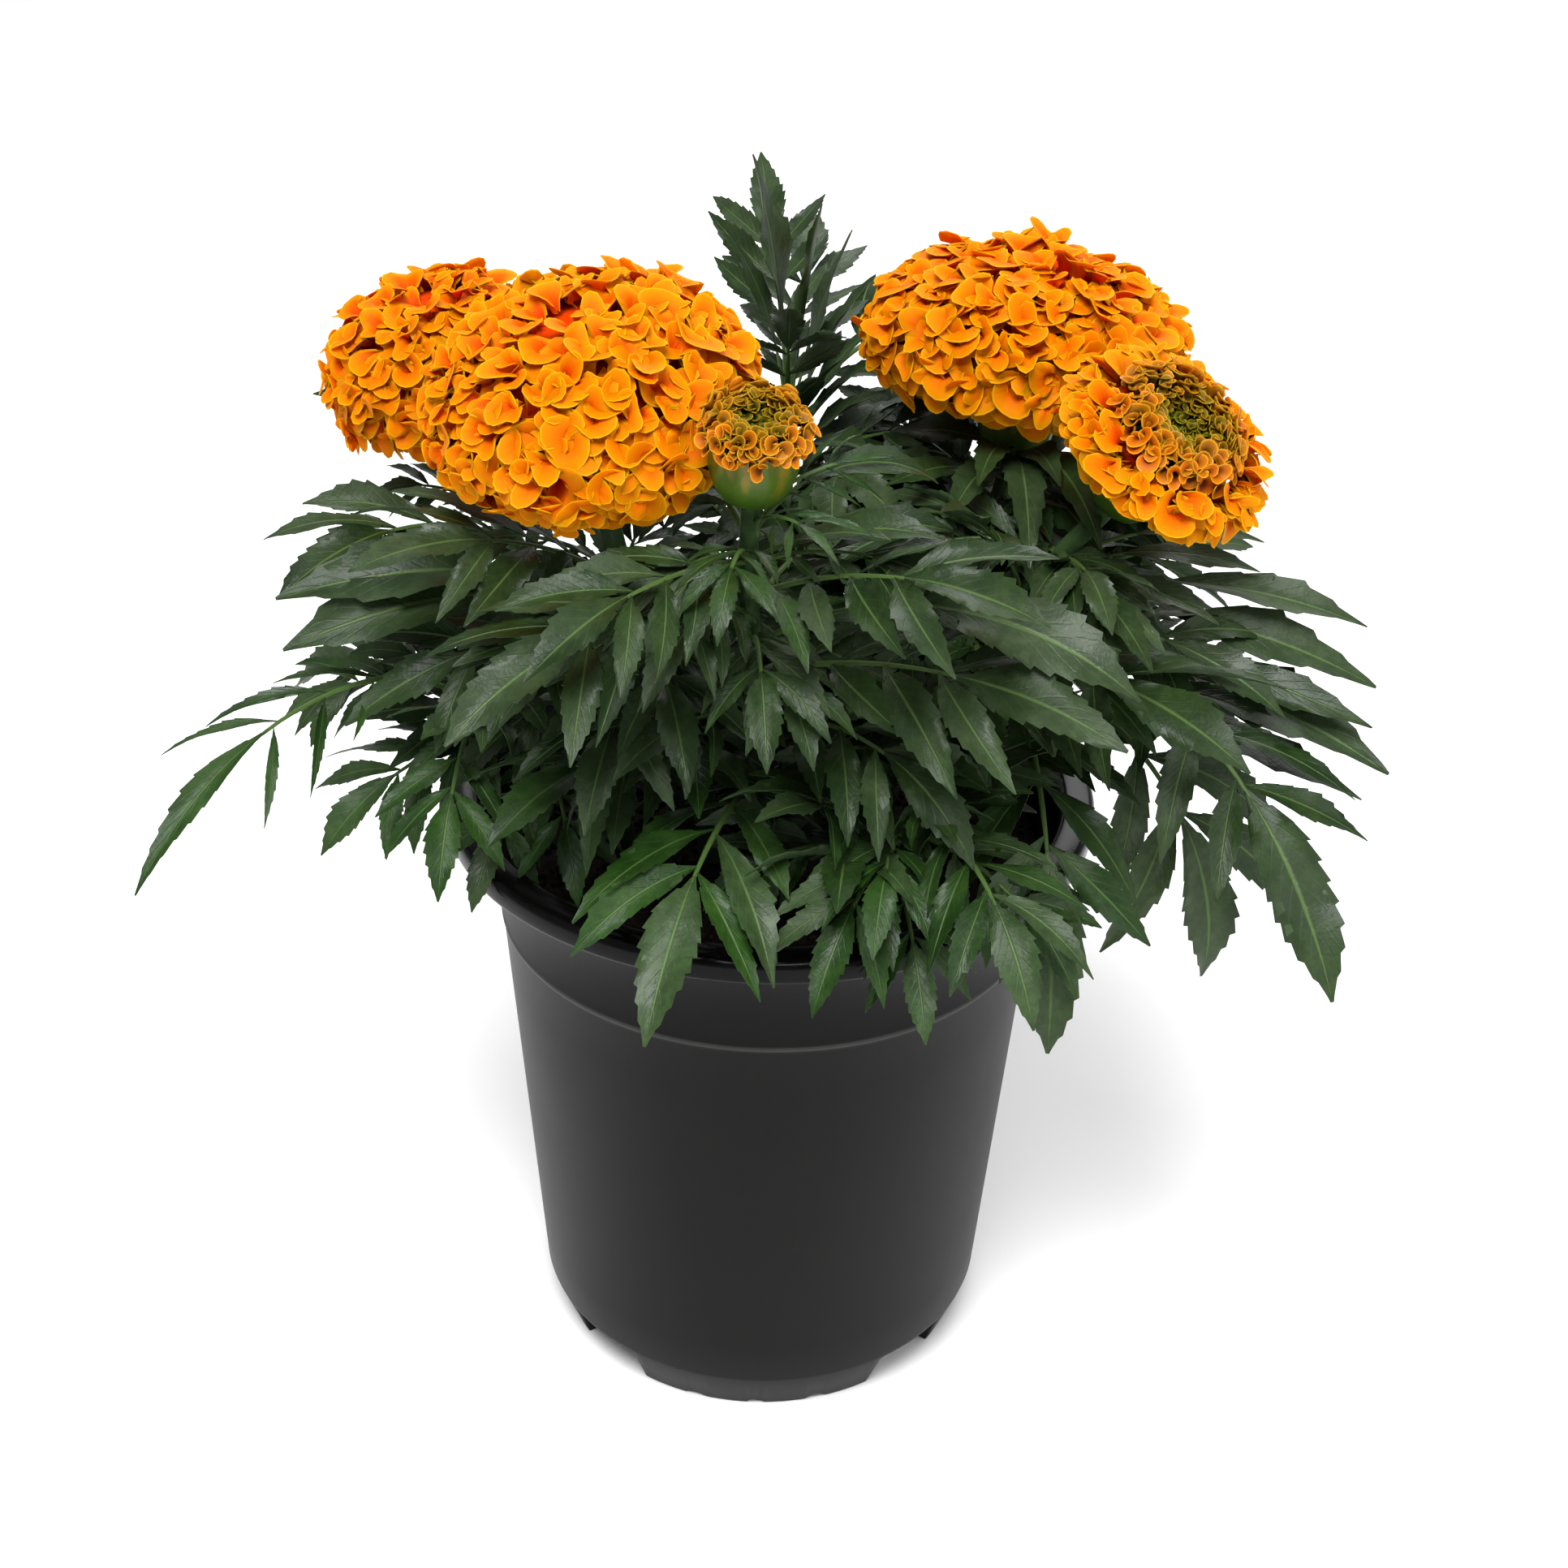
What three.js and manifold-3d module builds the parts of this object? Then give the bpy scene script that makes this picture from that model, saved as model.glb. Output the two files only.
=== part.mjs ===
// A double-flowered marigold in a round nursery pot. Millimetres, +Z up.
// The origin is the centre of the circle that the pot's feet stand on. -Y is the front.
import * as THREE from "three";
import { mergeVertices } from "three/addons/utils/BufferGeometryUtils.js";
import Module from "manifold-3d";

const wasm = await Module();
wasm.setup();

// ---------------------------------------------------------------- driving sizes
const POT = {
  height: 162,
  rimRadius: 82.5,
  lipHeight: 6.5,
  collarTopRadius: 73.5, // the wall just under the lip
  bandHeight: 127, // the thin raised line round the wall
  bandRadius: 69,
  wallFootRadius: 60.5,
  wallFootHeight: 13,
  footRadius: 55.5,
  wall: 1.8,
  sides: 32,
  feet: 4,
  footGap: 24, // degrees between one foot and the next
  footRing: 2.5, // width of the ring that the feet stand on
  notchTurns: [-17, 0, 17], // degrees from a foot's middle to its small notches
  notchGap: 5, // degrees
  notchHeight: 1.6,
  drainHoleRadius: 6,
};
const MIX = { top: 146, gap: 0.5, sides: 16, stemDepth: 14, holeGap: 0.4 };
const BLADE = 0.8; // thickness of a leaf or petal
const GOLDEN_ANGLE = Math.PI * (3 - Math.sqrt(5));

// ---------------------------------------------------------------- materials
const finish = (color, roughness) =>
  new THREE.MeshStandardMaterial({ color, roughness, metalness: 0 });
const materials = {
  pot: finish(0x2b2b2b, 0.45),
  mix: finish(0x2a1d14, 0.95),
  leaf: finish(0x3a5a34, 0.55),
  petal: finish(0xff9300, 0.5),
  floret: finish(0xb08a12, 0.55),
};

// ---------------------------------------------------------------- helpers
const radians = THREE.MathUtils.degToRad;
const vec = (x, y, z) => new THREE.Vector3(x, y, z);

// A repeatable draw from 0 to 1 for the number n.
function draw(n) {
  const x = Math.sin(n * 12.9898 + 4.1414) * 43758.5453;
  return x - Math.floor(x);
}

// The closed solid of a geometry, with its shared vertices merged.
function solidOf(geometry) {
  geometry.deleteAttribute("normal");
  geometry.deleteAttribute("uv");
  const merged = mergeVertices(geometry, 1e-4);
  const solid = new wasm.Manifold(
    new wasm.Mesh({
      numProp: 3,
      vertProperties: merged.attributes.position.array,
      triVerts: new Uint32Array(merged.index.array),
    }),
  );
  if (solid.volume() < 0) throw new Error("a shape is inside out");
  return solid;
}

const joined = (solids) => wasm.Manifold.union(solids);

function meshOf(name, solid, material) {
  const made = solid.getMesh();
  const geometry = new THREE.BufferGeometry()
    .setAttribute(
      "position",
      new THREE.BufferAttribute(new Float32Array(made.vertProperties), 3),
    )
    .setIndex(new THREE.BufferAttribute(new Uint32Array(made.triVerts), 1));
  geometry.computeVertexNormals();
  const mesh = new THREE.Mesh(geometry, material);
  mesh.name = name;
  return mesh;
}

// A profile of [radius, height] points turned about +Z.
function turned(profile, sides) {
  const points = profile.map(([r, z]) => new THREE.Vector2(r, z));
  return new THREE.LatheGeometry(points, sides).rotateX(Math.PI / 2);
}

// Moves every vertex of a geometry to place(x, y, z).
function mapped(geometry, place) {
  const position = geometry.attributes.position;
  for (let i = 0; i < position.count; i++) {
    const p = place(position.getX(i), position.getY(i), position.getZ(i));
    position.setXYZ(i, p.x, p.y, p.z);
  }
  return geometry;
}

// A flat outline of [x, y] points, BLADE thick about z = 0, before it is bent.
function flatBlade(outline) {
  const shape = new THREE.Shape(outline.map(([x, y]) => new THREE.Vector2(x, y)));
  const options = { depth: BLADE, bevelEnabled: false };
  return new THREE.ExtrudeGeometry(shape, options).translate(0, 0, -BLADE / 2);
}

// ---------------------------------------------------------------- pot
function innerRadius(z) {
  const low = [POT.wallFootHeight, POT.wallFootRadius];
  const band = [POT.bandHeight, POT.bandRadius];
  const top = [POT.height - POT.lipHeight, POT.collarTopRadius];
  const [a, b] = z < POT.bandHeight ? [low, band] : [band, top];
  const share = (z - a[0]) / (b[0] - a[0]);
  return a[1] + (b[1] - a[1]) * share - POT.wall;
}

function makePot() {
  const { height, rimRadius, lipHeight, wall, footRadius } = POT;
  const lipLow = height - lipHeight;
  const foot = POT.wallFootHeight;
  const profile = [
    [0, foot - 1],
    [footRadius - POT.footRing - 1, foot - 1],
    [footRadius - POT.footRing, 0],
    [footRadius, 0],
    [POT.wallFootRadius, foot],
    [POT.bandRadius, POT.bandHeight],
    [POT.bandRadius + 0.7, POT.bandHeight + 0.7],
    [POT.bandRadius + 0.5, POT.bandHeight + 1.6],
    [POT.collarTopRadius, lipLow],
    [rimRadius, lipLow + 0.5],
    [rimRadius, height - 1.6],
    [rimRadius - 1.8, height],
    [POT.collarTopRadius + 1.2, height],
    [innerRadius(lipLow), lipLow - 1.5],
    [innerRadius(POT.bandHeight), POT.bandHeight],
    [innerRadius(foot + wall), foot + wall],
    [0, foot + wall],
  ];
  const pot = solidOf(turned(profile, POT.sides));
  const cuts = [];
  for (let i = 0; i < POT.feet; i++) {
    const middle = 360 / POT.feet / 2 + (i * 360) / POT.feet;
    cuts.push(footCut(middle, POT.footGap, foot - 1.2, 20));
    for (const side of POT.notchTurns) {
      cuts.push(footCut(middle + 180 / POT.feet + side, POT.notchGap, POT.notchHeight, 6));
    }
    const [c, s] = [Math.cos(radians(middle)), Math.sin(radians(middle))];
    const hole = new THREE.CylinderGeometry(POT.drainHoleRadius, POT.drainHoleRadius, 8, 8);
    const reach = footRadius - POT.drainHoleRadius - 5;
    cuts.push(solidOf(hole.rotateX(Math.PI / 2).translate(reach * c, reach * s, foot)));
  }
  return pot.subtract(joined(cuts));
}

// A block that takes `degrees` of the foot ring away, from the ground up to `top`.
function footCut(middle, degrees, top, depth) {
  const width = 2 * POT.footRadius * Math.sin(radians(degrees / 2));
  const block = new THREE.BoxGeometry(depth, width, top + 2);
  block.translate(POT.footRadius, 0, top / 2 - 1).rotateZ(radians(middle));
  return solidOf(block);
}

// ---------------------------------------------------------------- flower heads
// centre is the middle of the widest level; up and down are the half-heights above and below it.
// aim is the way the head faces.
const HEADS = {
  left_bloom: { centre: [-42, -33, 276], across: 38, up: 27, down: 20, aim: [-0.13, -0.2, 1] },
  right_bloom: { centre: [60, 26, 272], across: 39.5, up: 23, down: 20, aim: [0.08, 0.05, 1] },
  rear_bloom: { centre: [-82, 24, 262], across: 29, up: 23, down: 19, aim: [-0.25, -0.05, 1] },
  young_bloom: { centre: [87, -34, 272], across: 23, up: 9, down: 13, aim: [0.5, -0.5, 1] },
  opening_bud: { centre: [-4, -66, 286], across: 12.5, up: 8, down: 6, aim: [0.05, -0.34, 1] },
};
const CALYX = { height: 16, radius: 9 };
const CORE_SHARE = 0.7; // a head's core against its outer size
const CORE_SIDES = 12;
const SEAT_GAP = 0.3; // between a calyx and the head that sits on it
const SEAT_RADIUS = 7;
const PETAL_SUNK = 2.5; // how far a petal's root is sunk in its core

// Where the calyx meets the head, below the head's centre.
const seatDepth = (head) => head.down * CORE_SHARE;

// The head's own directions: two across it and the way that it faces.
function headFrame(head) {
  const axis = vec(...head.aim).normalize();
  const first = vec(1, 0, 0).addScaledVector(axis, -axis.x).normalize();
  return { centre: vec(...head.centre), axis, first, second: axis.clone().cross(first) };
}

// A profile of [radius, height] points turned about the axis of a head.
function turnedInHead(head, profile) {
  const { centre, axis, first, second } = headFrame(head);
  const geometry = mapped(turned(profile, CORE_SIDES), (x, y, z) =>
    centre.clone().addScaledVector(first, x).addScaledVector(second, y).addScaledVector(axis, z),
  );
  return solidOf(geometry);
}

// A petal is a spoon: narrow root, broad uneven tip. x runs across it, y along it.
function petalOutline(length, width) {
  const half = width / 2;
  return [
    [-1.4, 0],
    [1.4, 0],
    [half, 0.66 * length],
    [0.5 * half, length],
    [-0.5 * half, 0.94 * length],
    [-half, 0.6 * length],
  ];
}

// Bends a petal: it leaves `start` along `outward` and curls over towards `away`.
function bentPetal({ start, outward, away, length, width, curl }) {
  const across = away.clone().cross(outward);
  const bend = curl / length;
  return mapped(flatBlade(petalOutline(length, width)), (u, v, w) => {
    const [sine, cosine] = [Math.sin(bend * v), Math.cos(bend * v)];
    return start
      .clone()
      .addScaledVector(outward, sine / bend + w * sine)
      .addScaledVector(away, (1 - cosine) / bend - w * cosine)
      .addScaledVector(across, u);
  });
}

// Petals that spiral down an egg-shaped core, a golden angle apart, from the slope `from` to the
// slope `to`, both measured from the way that the head faces.
function spiralPetals(head, { count, from, to, length, width, curl }) {
  const { axis, first, second, centre } = headFrame(head);
  const petals = [];
  for (let i = 0; i < count; i++) {
    const level = Math.cos(from) + ((Math.cos(to) - Math.cos(from)) * (i + 0.5)) / count;
    const round = Math.sqrt(1 - level * level);
    const ray = first
      .clone()
      .multiplyScalar(Math.cos(i * GOLDEN_ANGLE))
      .addScaledVector(second, Math.sin(i * GOLDEN_ANGLE));
    const tall = level > 0 ? head.up : head.down;
    const slope = Math.atan2(round / head.across, level / tall);
    const outward = ray.clone().multiplyScalar(Math.sin(slope)).addScaledVector(axis, Math.cos(slope));
    const away = ray.clone().multiplyScalar(Math.cos(slope)).addScaledVector(axis, -Math.sin(slope));
    const start = centre
      .clone()
      .addScaledVector(ray, round * head.across * CORE_SHARE)
      .addScaledVector(axis, level * tall * CORE_SHARE)
      .addScaledVector(outward, -PETAL_SUNK);
    const long = length * (0.9 + 0.2 * draw(i));
    petals.push(solidOf(bentPetal({ start, outward, away, length: long, width, curl })));
  }
  return petals;
}

// The flat underside of a head, and rings of its egg-shaped core at the given slopes.
const seat = (head) => [[0, -seatDepth(head)], [SEAT_RADIUS, -seatDepth(head)]];
const eggRings = (head, slopes) =>
  slopes.map((slope) => {
    const level = Math.cos(radians(slope));
    const tall = level > 0 ? head.up : head.down;
    return [head.across * CORE_SHARE * Math.sin(radians(slope)), tall * CORE_SHARE * level];
  });

// A full double head: an egg-shaped core under petals that stand out of it all round.
function makeBloom(head, count) {
  const egg = [...seat(head), ...eggRings(head, [125, 95, 65, 38, 14]), [0, head.up * CORE_SHARE]];
  const petals = spiralPetals(head, {
    count,
    from: radians(8),
    to: radians(124),
    length: head.across * 0.42,
    width: head.across * 0.38,
    curl: radians(66),
  });
  return joined([turnedInHead(head, egg), ...petals]);
}

// The skirt of petals round a head that is still opening, on a core with a flat top.
function makeSkirt(head) {
  const core = [...seat(head), ...eggRings(head, [125, 97]), [head.across * 0.5, 0], [0, 0]];
  const petals = spiralPetals(head, {
    count: 17,
    from: radians(93),
    to: radians(130),
    length: head.across * 0.5,
    width: head.across * 0.46,
    curl: radians(30),
  });
  return joined([turnedInHead(head, core), ...petals]);
}

// A dished disc whose rim and inner slope are set with small curled florets in two rings.
function makeFlorets(head, base, outer, inner) {
  const wide = head.across * 0.62;
  const crest = base + head.up * 0.6;
  const disc = turnedInHead(head, [
    [0, base + SEAT_GAP],
    [SEAT_RADIUS, base + SEAT_GAP],
    [wide, base + SEAT_GAP + head.up * 0.25],
    [wide * 0.8, crest],
    [wide * 0.35, crest - head.up * 0.35],
    [0, crest - head.up * 0.35],
  ]);
  const { axis, first, second, centre } = headFrame(head);
  const florets = [];
  for (const ring of [
    { count: outer, radius: wide * 0.86, lean: 62, length: head.across * 0.5, curl: 45 },
    { count: inner, radius: wide * 0.46, lean: 10, length: head.across * 0.34, curl: 20 },
  ]) {
    for (let i = 0; i < ring.count; i++) {
      const turn = ((i + 0.5 * draw(i)) * 2 * Math.PI) / ring.count;
      const ray = first.clone().multiplyScalar(Math.cos(turn)).addScaledVector(second, Math.sin(turn));
      const [sine, cosine] = [Math.sin(radians(ring.lean)), Math.cos(radians(ring.lean))];
      const outward = ray.clone().multiplyScalar(sine).addScaledVector(axis, cosine);
      const away = ray.clone().multiplyScalar(cosine).addScaledVector(axis, -sine);
      const start = centre
        .clone()
        .addScaledVector(ray, ring.radius)
        .addScaledVector(axis, crest - 1.5)
        .addScaledVector(outward, -1.5);
      const width = (1.7 * Math.PI * ring.radius) / ring.count;
      const curl = radians(ring.curl);
      florets.push(solidOf(bentPetal({ start, outward, away, length: ring.length, width, curl })));
    }
  }
  return joined([disc, ...florets]);
}

// ---------------------------------------------------------------- stems
// A stem is a cubic Bezier curve: up out of the potting mix, then over to its head.
const STEMS = {
  left_bloom: { foot: [-14, -12], radius: 3.2 },
  right_bloom: { foot: [15, 10], radius: 3.2 },
  young_bloom: { foot: [19, -12], radius: 2.8 },
  opening_bud: { foot: [-1, -26], radius: 2.6 },
  rear_bloom: { foot: [-19, 10], radius: 3.0 },
  rear_shoot: { foot: [0, 26], top: [2, 50, 252], aim: [0, 0.1, 1], radius: 2.6 },
  left_shoot: { foot: [-33, -8], top: [-78, -16, 196], aim: [-0.8, -0.1, 0.7], radius: 2.4 },
  right_shoot: { foot: [36, 2], top: [76, -4, 204], aim: [0.8, -0.1, 0.7], radius: 2.4 },
  front_shoot: { foot: [18, -38], top: [36, -54, 184], aim: [0.5, -0.5, 0.7], radius: 2.2 },
};

// Where a flowering stem meets its calyx.
function calyxFoot(head) {
  const { centre, axis } = headFrame(head);
  return centre.addScaledVector(axis, -(seatDepth(head) + SEAT_GAP + CALYX.height));
}

function stemCurve(name) {
  const stem = STEMS[name];
  const head = HEADS[name];
  const foot = vec(stem.foot[0], stem.foot[1], MIX.top - MIX.stemDepth);
  const top = head ? calyxFoot(head) : vec(...stem.top);
  const span = foot.distanceTo(top);
  const aim = vec(...(head ?? stem).aim).normalize();
  return new THREE.CubicBezierCurve3(
    foot,
    foot.clone().addScaledVector(vec(0, 0, 1), span * 0.42),
    top.clone().addScaledVector(aim, -span * 0.3),
    top,
  );
}

// Two directions square to the curve at t.
function acrossCurve(curve, t) {
  const along = curve.getTangent(t);
  const side = vec(1, 0, 0).addScaledVector(along, -along.x).normalize();
  return [side, along.clone().cross(side)];
}

// A profile of [radius, share of the stem's length] carried along the stem.
function sweptStem(curve, profile, sides) {
  return mapped(turned(profile, sides), (x, y, t) => {
    const clamped = Math.min(Math.max(t, 0), 1);
    const [side, other] = acrossCurve(curve, clamped);
    const past = t - clamped;
    return curve
      .getPoint(clamped)
      .addScaledVector(side, x)
      .addScaledVector(other, y)
      .addScaledVector(curve.getTangent(clamped), past * curve.getLength());
  });
}

// ---------------------------------------------------------------- leaves
// One edge of a leaflet: [share of its length, share of its half-width], from base to tip.
// Its saw teeth point forward; with no teeth the edge is plain.
function leafletEdge(teeth) {
  if (teeth === 0) return [[0.5, 0.95]];
  const edge = [];
  for (let i = 0; i < teeth; i++) {
    const at = 0.46 + (i * 0.32) / Math.max(teeth - 1, 1);
    const full = Math.sin(Math.PI * Math.pow(at, 1.15));
    edge.push([at, Math.min(1, full + 0.08)]);
    edge.push([at + 0.05, full * 0.74]);
  }
  return edge;
}

// The points round one leaflet whose base is [s, v], with `teeth` on its right and left edge.
function leafletOutline(s, v, angle, length, halfWidth, teeth) {
  const [c, d] = [Math.cos(angle), Math.sin(angle)];
  const put = (t, w) => [s + t * length * c - w * d, v + t * length * d + w * c];
  const near = leafletEdge(teeth[0]).map(([t, w]) => put(t, -w * halfWidth));
  const far = leafletEdge(teeth[1]).map(([t, w]) => put(t, w * halfWidth)).reverse();
  return [...near, put(1, 0), ...far];
}

// The flat outline of a leaf that is cut to the rib: s runs along the rib, v across it.
function leafOutline({ length, pairs, leaflet, width }) {
  const rib = 1.2;
  const angle = radians(50);
  const first = 0.5 - 0.13 * (pairs - 1);
  const gap = pairs > 1 ? (0.53 - first) / (pairs - 1) : 0.2;
  const side = [[0, -rib]];
  for (let i = 0; i < pairs; i++) {
    const s = length * (first + i * gap);
    const size = length * (leaflet - 0.05 * Math.abs(i - (pairs - 1) * 0.6));
    const half = width * Math.min(0.17 * size, 0.44 * gap * length * Math.sin(angle));
    side.push([s - 2.2, -rib]);
    side.push(...leafletOutline(s, -rib, -angle, size, half, [1, 0]));
    side.push([s + 1.6, -rib]);
  }
  const mirrored = side.map(([s, v]) => [s, -v]).reverse();
  const start = length * 0.59;
  const end = leafletOutline(start, 0, 0, length - start, width * length * 0.088, [2, 1]);
  return [...side, ...end, ...mirrored];
}

const FACE_ROLL = 28; // degrees that a leaf at the side turns its face to the light in front

// Bends a flat leaf: its rib leaves `root` at `turn` and `rise` degrees and droops along an arc,
// and its sides arch down like an umbrella's.
function bentLeaf(root, leaf) {
  const { length, rise, droop } = leaf;
  const heading = vec(Math.cos(radians(leaf.turn)), Math.sin(radians(leaf.turn)), 0);
  const level = vec(-heading.y, heading.x, 0);
  const bend = Math.max(radians(droop), 1e-3) / length;
  const arch = (leaf.arch ?? 1) / length;
  const roll = radians(leaf.roll ?? FACE_ROLL * Math.cos(radians(leaf.turn)));
  const pitch = radians(rise);
  return mapped(flatBlade(leafOutline(leaf)), (s, v, w) => {
    const now = pitch - bend * s;
    const run = (Math.sin(pitch) - Math.sin(now)) / bend;
    const climb = (Math.cos(now) - Math.cos(pitch)) / bend;
    const up = heading.clone().multiplyScalar(-Math.sin(now)).addScaledVector(vec(0, 0, 1), Math.cos(now));
    const across = level.clone().multiplyScalar(Math.cos(roll)).addScaledVector(up, Math.sin(roll));
    const over = up.clone().multiplyScalar(Math.cos(roll)).addScaledVector(level, -Math.sin(roll));
    const out = Math.sin(arch * v) / arch + w * Math.sin(arch * v);
    const down = (1 - Math.cos(arch * v)) / arch - w * Math.cos(arch * v);
    return root
      .clone()
      .addScaledVector(heading, run)
      .addScaledVector(vec(0, 0, 1), climb)
      .addScaledVector(across, out)
      .addScaledVector(over, -down);
  });
}

// at is the share along the stem; turn is the compass direction from +X towards +Y.
// leaflet is the longest side leaflet's share of the leaf; width scales how broad they all are.
const USUAL_LEAF = { pairs: 3, leaflet: 0.42, width: 1 };
const leaf = (at, turn, rise, droop, length, more) => ({
  ...USUAL_LEAF,
  ...{ at, turn, rise, droop, length },
  ...more,
});
const LEAVES = {
  left_bloom: [
    leaf(0.8, 220, 45, 50, 80),
    leaf(0.28, 230, 50, 80, 78),
    leaf(0.55, 205, 15, 70, 60, { pairs: 2 }),
  ],
  right_bloom: [
    leaf(0.82, 285, 60, 80, 50, { pairs: 2 }),
    leaf(0.65, 20, 30, 60, 78, { pairs: 2 }),
    leaf(0.5, 75, 35, 75, 84, { pairs: 2 }),
  ],
  young_bloom: [
    leaf(0.5, 310, 35, 50, 100),
    leaf(0.8, 280, 40, 60, 55, { pairs: 2 }),
    leaf(0.72, 240, 60, 40, 60, { pairs: 2 }),
    leaf(0.62, 35, 20, 40, 90),
  ],
  opening_bud: [
    leaf(0.3, 255, 25, 70, 96),
    leaf(0.42, 315, 40, 90, 78),
    leaf(0.55, 325, 31, 45, 100),
    leaf(0.75, 320, 35, 40, 84),
    leaf(0.7, 225, 30, 60, 90),
    leaf(0.84, 232, 20, 40, 72),
  ],
  rear_bloom: [
    leaf(0.8, 230, 40, 60, 80),
    leaf(0.55, 220, 55, 80, 84, { pairs: 2 }),
    leaf(0.9, 145, 50, 30, 62, { pairs: 2 }),
    leaf(0.75, 65, 60, 20, 84),
    leaf(0.35, 130, 40, 75, 84, { pairs: 2 }),
    leaf(0.3, 180, 50, 90, 72, { pairs: 2 }),
  ],
  rear_shoot: [
    leaf(1.0, 100, 45, 10, 66),
    leaf(0.93, 85, 35, 25, 76),
    leaf(0.85, 270, 70, 35, 62, { pairs: 2 }),
    leaf(0.66, 315, 60, 60, 62, { pairs: 2 }),
    leaf(0.9, 45, 35, 50, 78, { pairs: 2 }),
    leaf(0.55, 125, 35, 70, 84, { pairs: 2 }),
    leaf(0.4, 60, 40, 80, 80, { pairs: 2 }),
    leaf(0.25, 100, 50, 95, 70, { pairs: 2 }),
  ],
  left_shoot: [
    leaf(1.0, 235, 35, 80, 110, { leaflet: 0.28, width: 0.42 }),
    leaf(0.6, 250, 5, 60, 52, { pairs: 2 }),
    leaf(0.8, 150, 25, 70, 74, { pairs: 2 }),
    leaf(0.95, 180, 20, 60, 48, { pairs: 2 }),
  ],
  right_shoot: [
    leaf(0.7, 275, 25, 115, 112, { leaflet: 0.36 }),
    leaf(1.0, 300, 15, 75, 118, { leaflet: 0.31 }),
    leaf(0.9, 5, 10, 40, 66),
    leaf(0.8, 310, 15, 110, 100, { pairs: 2 }),
    leaf(0.5, 70, 25, 70, 76, { pairs: 2 }),
  ],
  front_shoot: [
    leaf(1.0, 290, 25, 75, 72),
    leaf(0.8, 262, 40, 80, 56, { pairs: 2 }),
    leaf(0.6, 205, 40, 90, 50, { pairs: 2 }),
  ],
};

const STEM_STEP = 0.25; // share of a stem from one of its rings to the next

// A stem with its leaves, and the calyx under its flower.
function makeLeafyStem(name) {
  const curve = stemCurve(name);
  const { radius } = STEMS[name];
  const past = (mm) => 1 + mm / curve.getLength();
  const profile = [[0, 0], [radius, 0]];
  for (let share = STEM_STEP; share < 0.99; share += STEM_STEP) {
    profile.push([radius * (1 - 0.2 * share), share]);
  }
  if (HEADS[name]) {
    profile.push([radius * 0.95, 1]);
    profile.push([CALYX.radius * 0.85, past(4.5)]);
    profile.push([CALYX.radius, past(9)]);
    profile.push([CALYX.radius * 0.9, past(CALYX.height)]);
    profile.push([0, past(CALYX.height)]);
  } else {
    profile.push([radius * 0.7, 1]);
    profile.push([0, past(2)]);
  }
  const stem = solidOf(sweptStem(curve, profile, HEADS[name] ? 8 : 6));
  const leaves = LEAVES[name].map((one) => solidOf(bentLeaf(curve.getPoint(one.at), one)));
  return joined([stem, ...leaves]);
}

// ---------------------------------------------------------------- potting mix
function makeMix() {
  const floor = POT.wallFootHeight + POT.wall + 0.3;
  const edge = (z) => [innerRadius(z) - MIX.gap, z];
  const rings = [
    [0, floor],
    edge(floor),
    edge(POT.bandHeight),
    edge(MIX.top - 2),
    [40, MIX.top + 0.6],
    [0, MIX.top],
  ];
  const holes = Object.keys(STEMS).map((name) => {
    const wide = STEMS[name].radius + MIX.holeGap;
    const deep = -MIX.holeGap / stemCurve(name).getLength();
    const sides = HEADS[name] ? 8 : 6;
    return solidOf(
      sweptStem(stemCurve(name), [[0, deep], [wide, deep], [wide, STEM_STEP], [0, STEM_STEP]], sides),
    );
  });
  return solidOf(turned(rings, MIX.sides)).subtract(joined(holes));
}

// ---------------------------------------------------------------- the whole plant
const marigold = new THREE.Group();
marigold.add(meshOf("pot", makePot(), materials.pot));
marigold.add(meshOf("potting_mix", makeMix(), materials.mix));
for (const name of Object.keys(STEMS)) {
  marigold.add(meshOf(`${name}_stem_and_leaves`, makeLeafyStem(name), materials.leaf));
}
for (const [name, petals] of [["left_bloom", 34], ["right_bloom", 34], ["rear_bloom", 21]]) {
  marigold.add(meshOf(`${name}_petals`, makeBloom(HEADS[name], petals), materials.petal));
}
marigold.add(meshOf("young_bloom_petals", makeSkirt(HEADS.young_bloom), materials.petal));
const youngFlorets = makeFlorets(HEADS.young_bloom, 0, 11, 5);
marigold.add(meshOf("young_bloom_florets", youngFlorets, materials.floret));
const budFlorets = makeFlorets(HEADS.opening_bud, -seatDepth(HEADS.opening_bud), 9, 4);
marigold.add(meshOf("opening_bud_florets", budFlorets, materials.floret));

export default marigold;
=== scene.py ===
import math
import bpy
import numpy as np
from mathutils import Matrix, Vector


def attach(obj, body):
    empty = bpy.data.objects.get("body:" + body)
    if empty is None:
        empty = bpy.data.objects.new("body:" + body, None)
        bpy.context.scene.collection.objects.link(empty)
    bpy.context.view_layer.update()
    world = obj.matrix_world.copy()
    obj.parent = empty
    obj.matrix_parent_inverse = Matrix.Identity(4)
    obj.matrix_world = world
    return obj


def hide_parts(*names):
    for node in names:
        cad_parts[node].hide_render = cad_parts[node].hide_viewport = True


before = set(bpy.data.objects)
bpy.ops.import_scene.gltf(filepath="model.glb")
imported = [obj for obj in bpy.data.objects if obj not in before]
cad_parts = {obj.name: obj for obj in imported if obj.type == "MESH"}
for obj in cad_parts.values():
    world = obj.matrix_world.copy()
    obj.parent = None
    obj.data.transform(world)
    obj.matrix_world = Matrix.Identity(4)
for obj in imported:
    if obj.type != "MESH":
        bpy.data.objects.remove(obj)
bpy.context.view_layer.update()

# A double-flowered marigold in a nursery pot. Shapes are worked out in millimetres and
# put into the meshes in metres. The front is -Y.
mm = 0.001
goldenAngle = math.pi * (3 - math.sqrt(5))
potBody = "root"


# Directions of length one.
def unit(v):
    return v / np.linalg.norm(v, axis=-1, keepdims=True)


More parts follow.
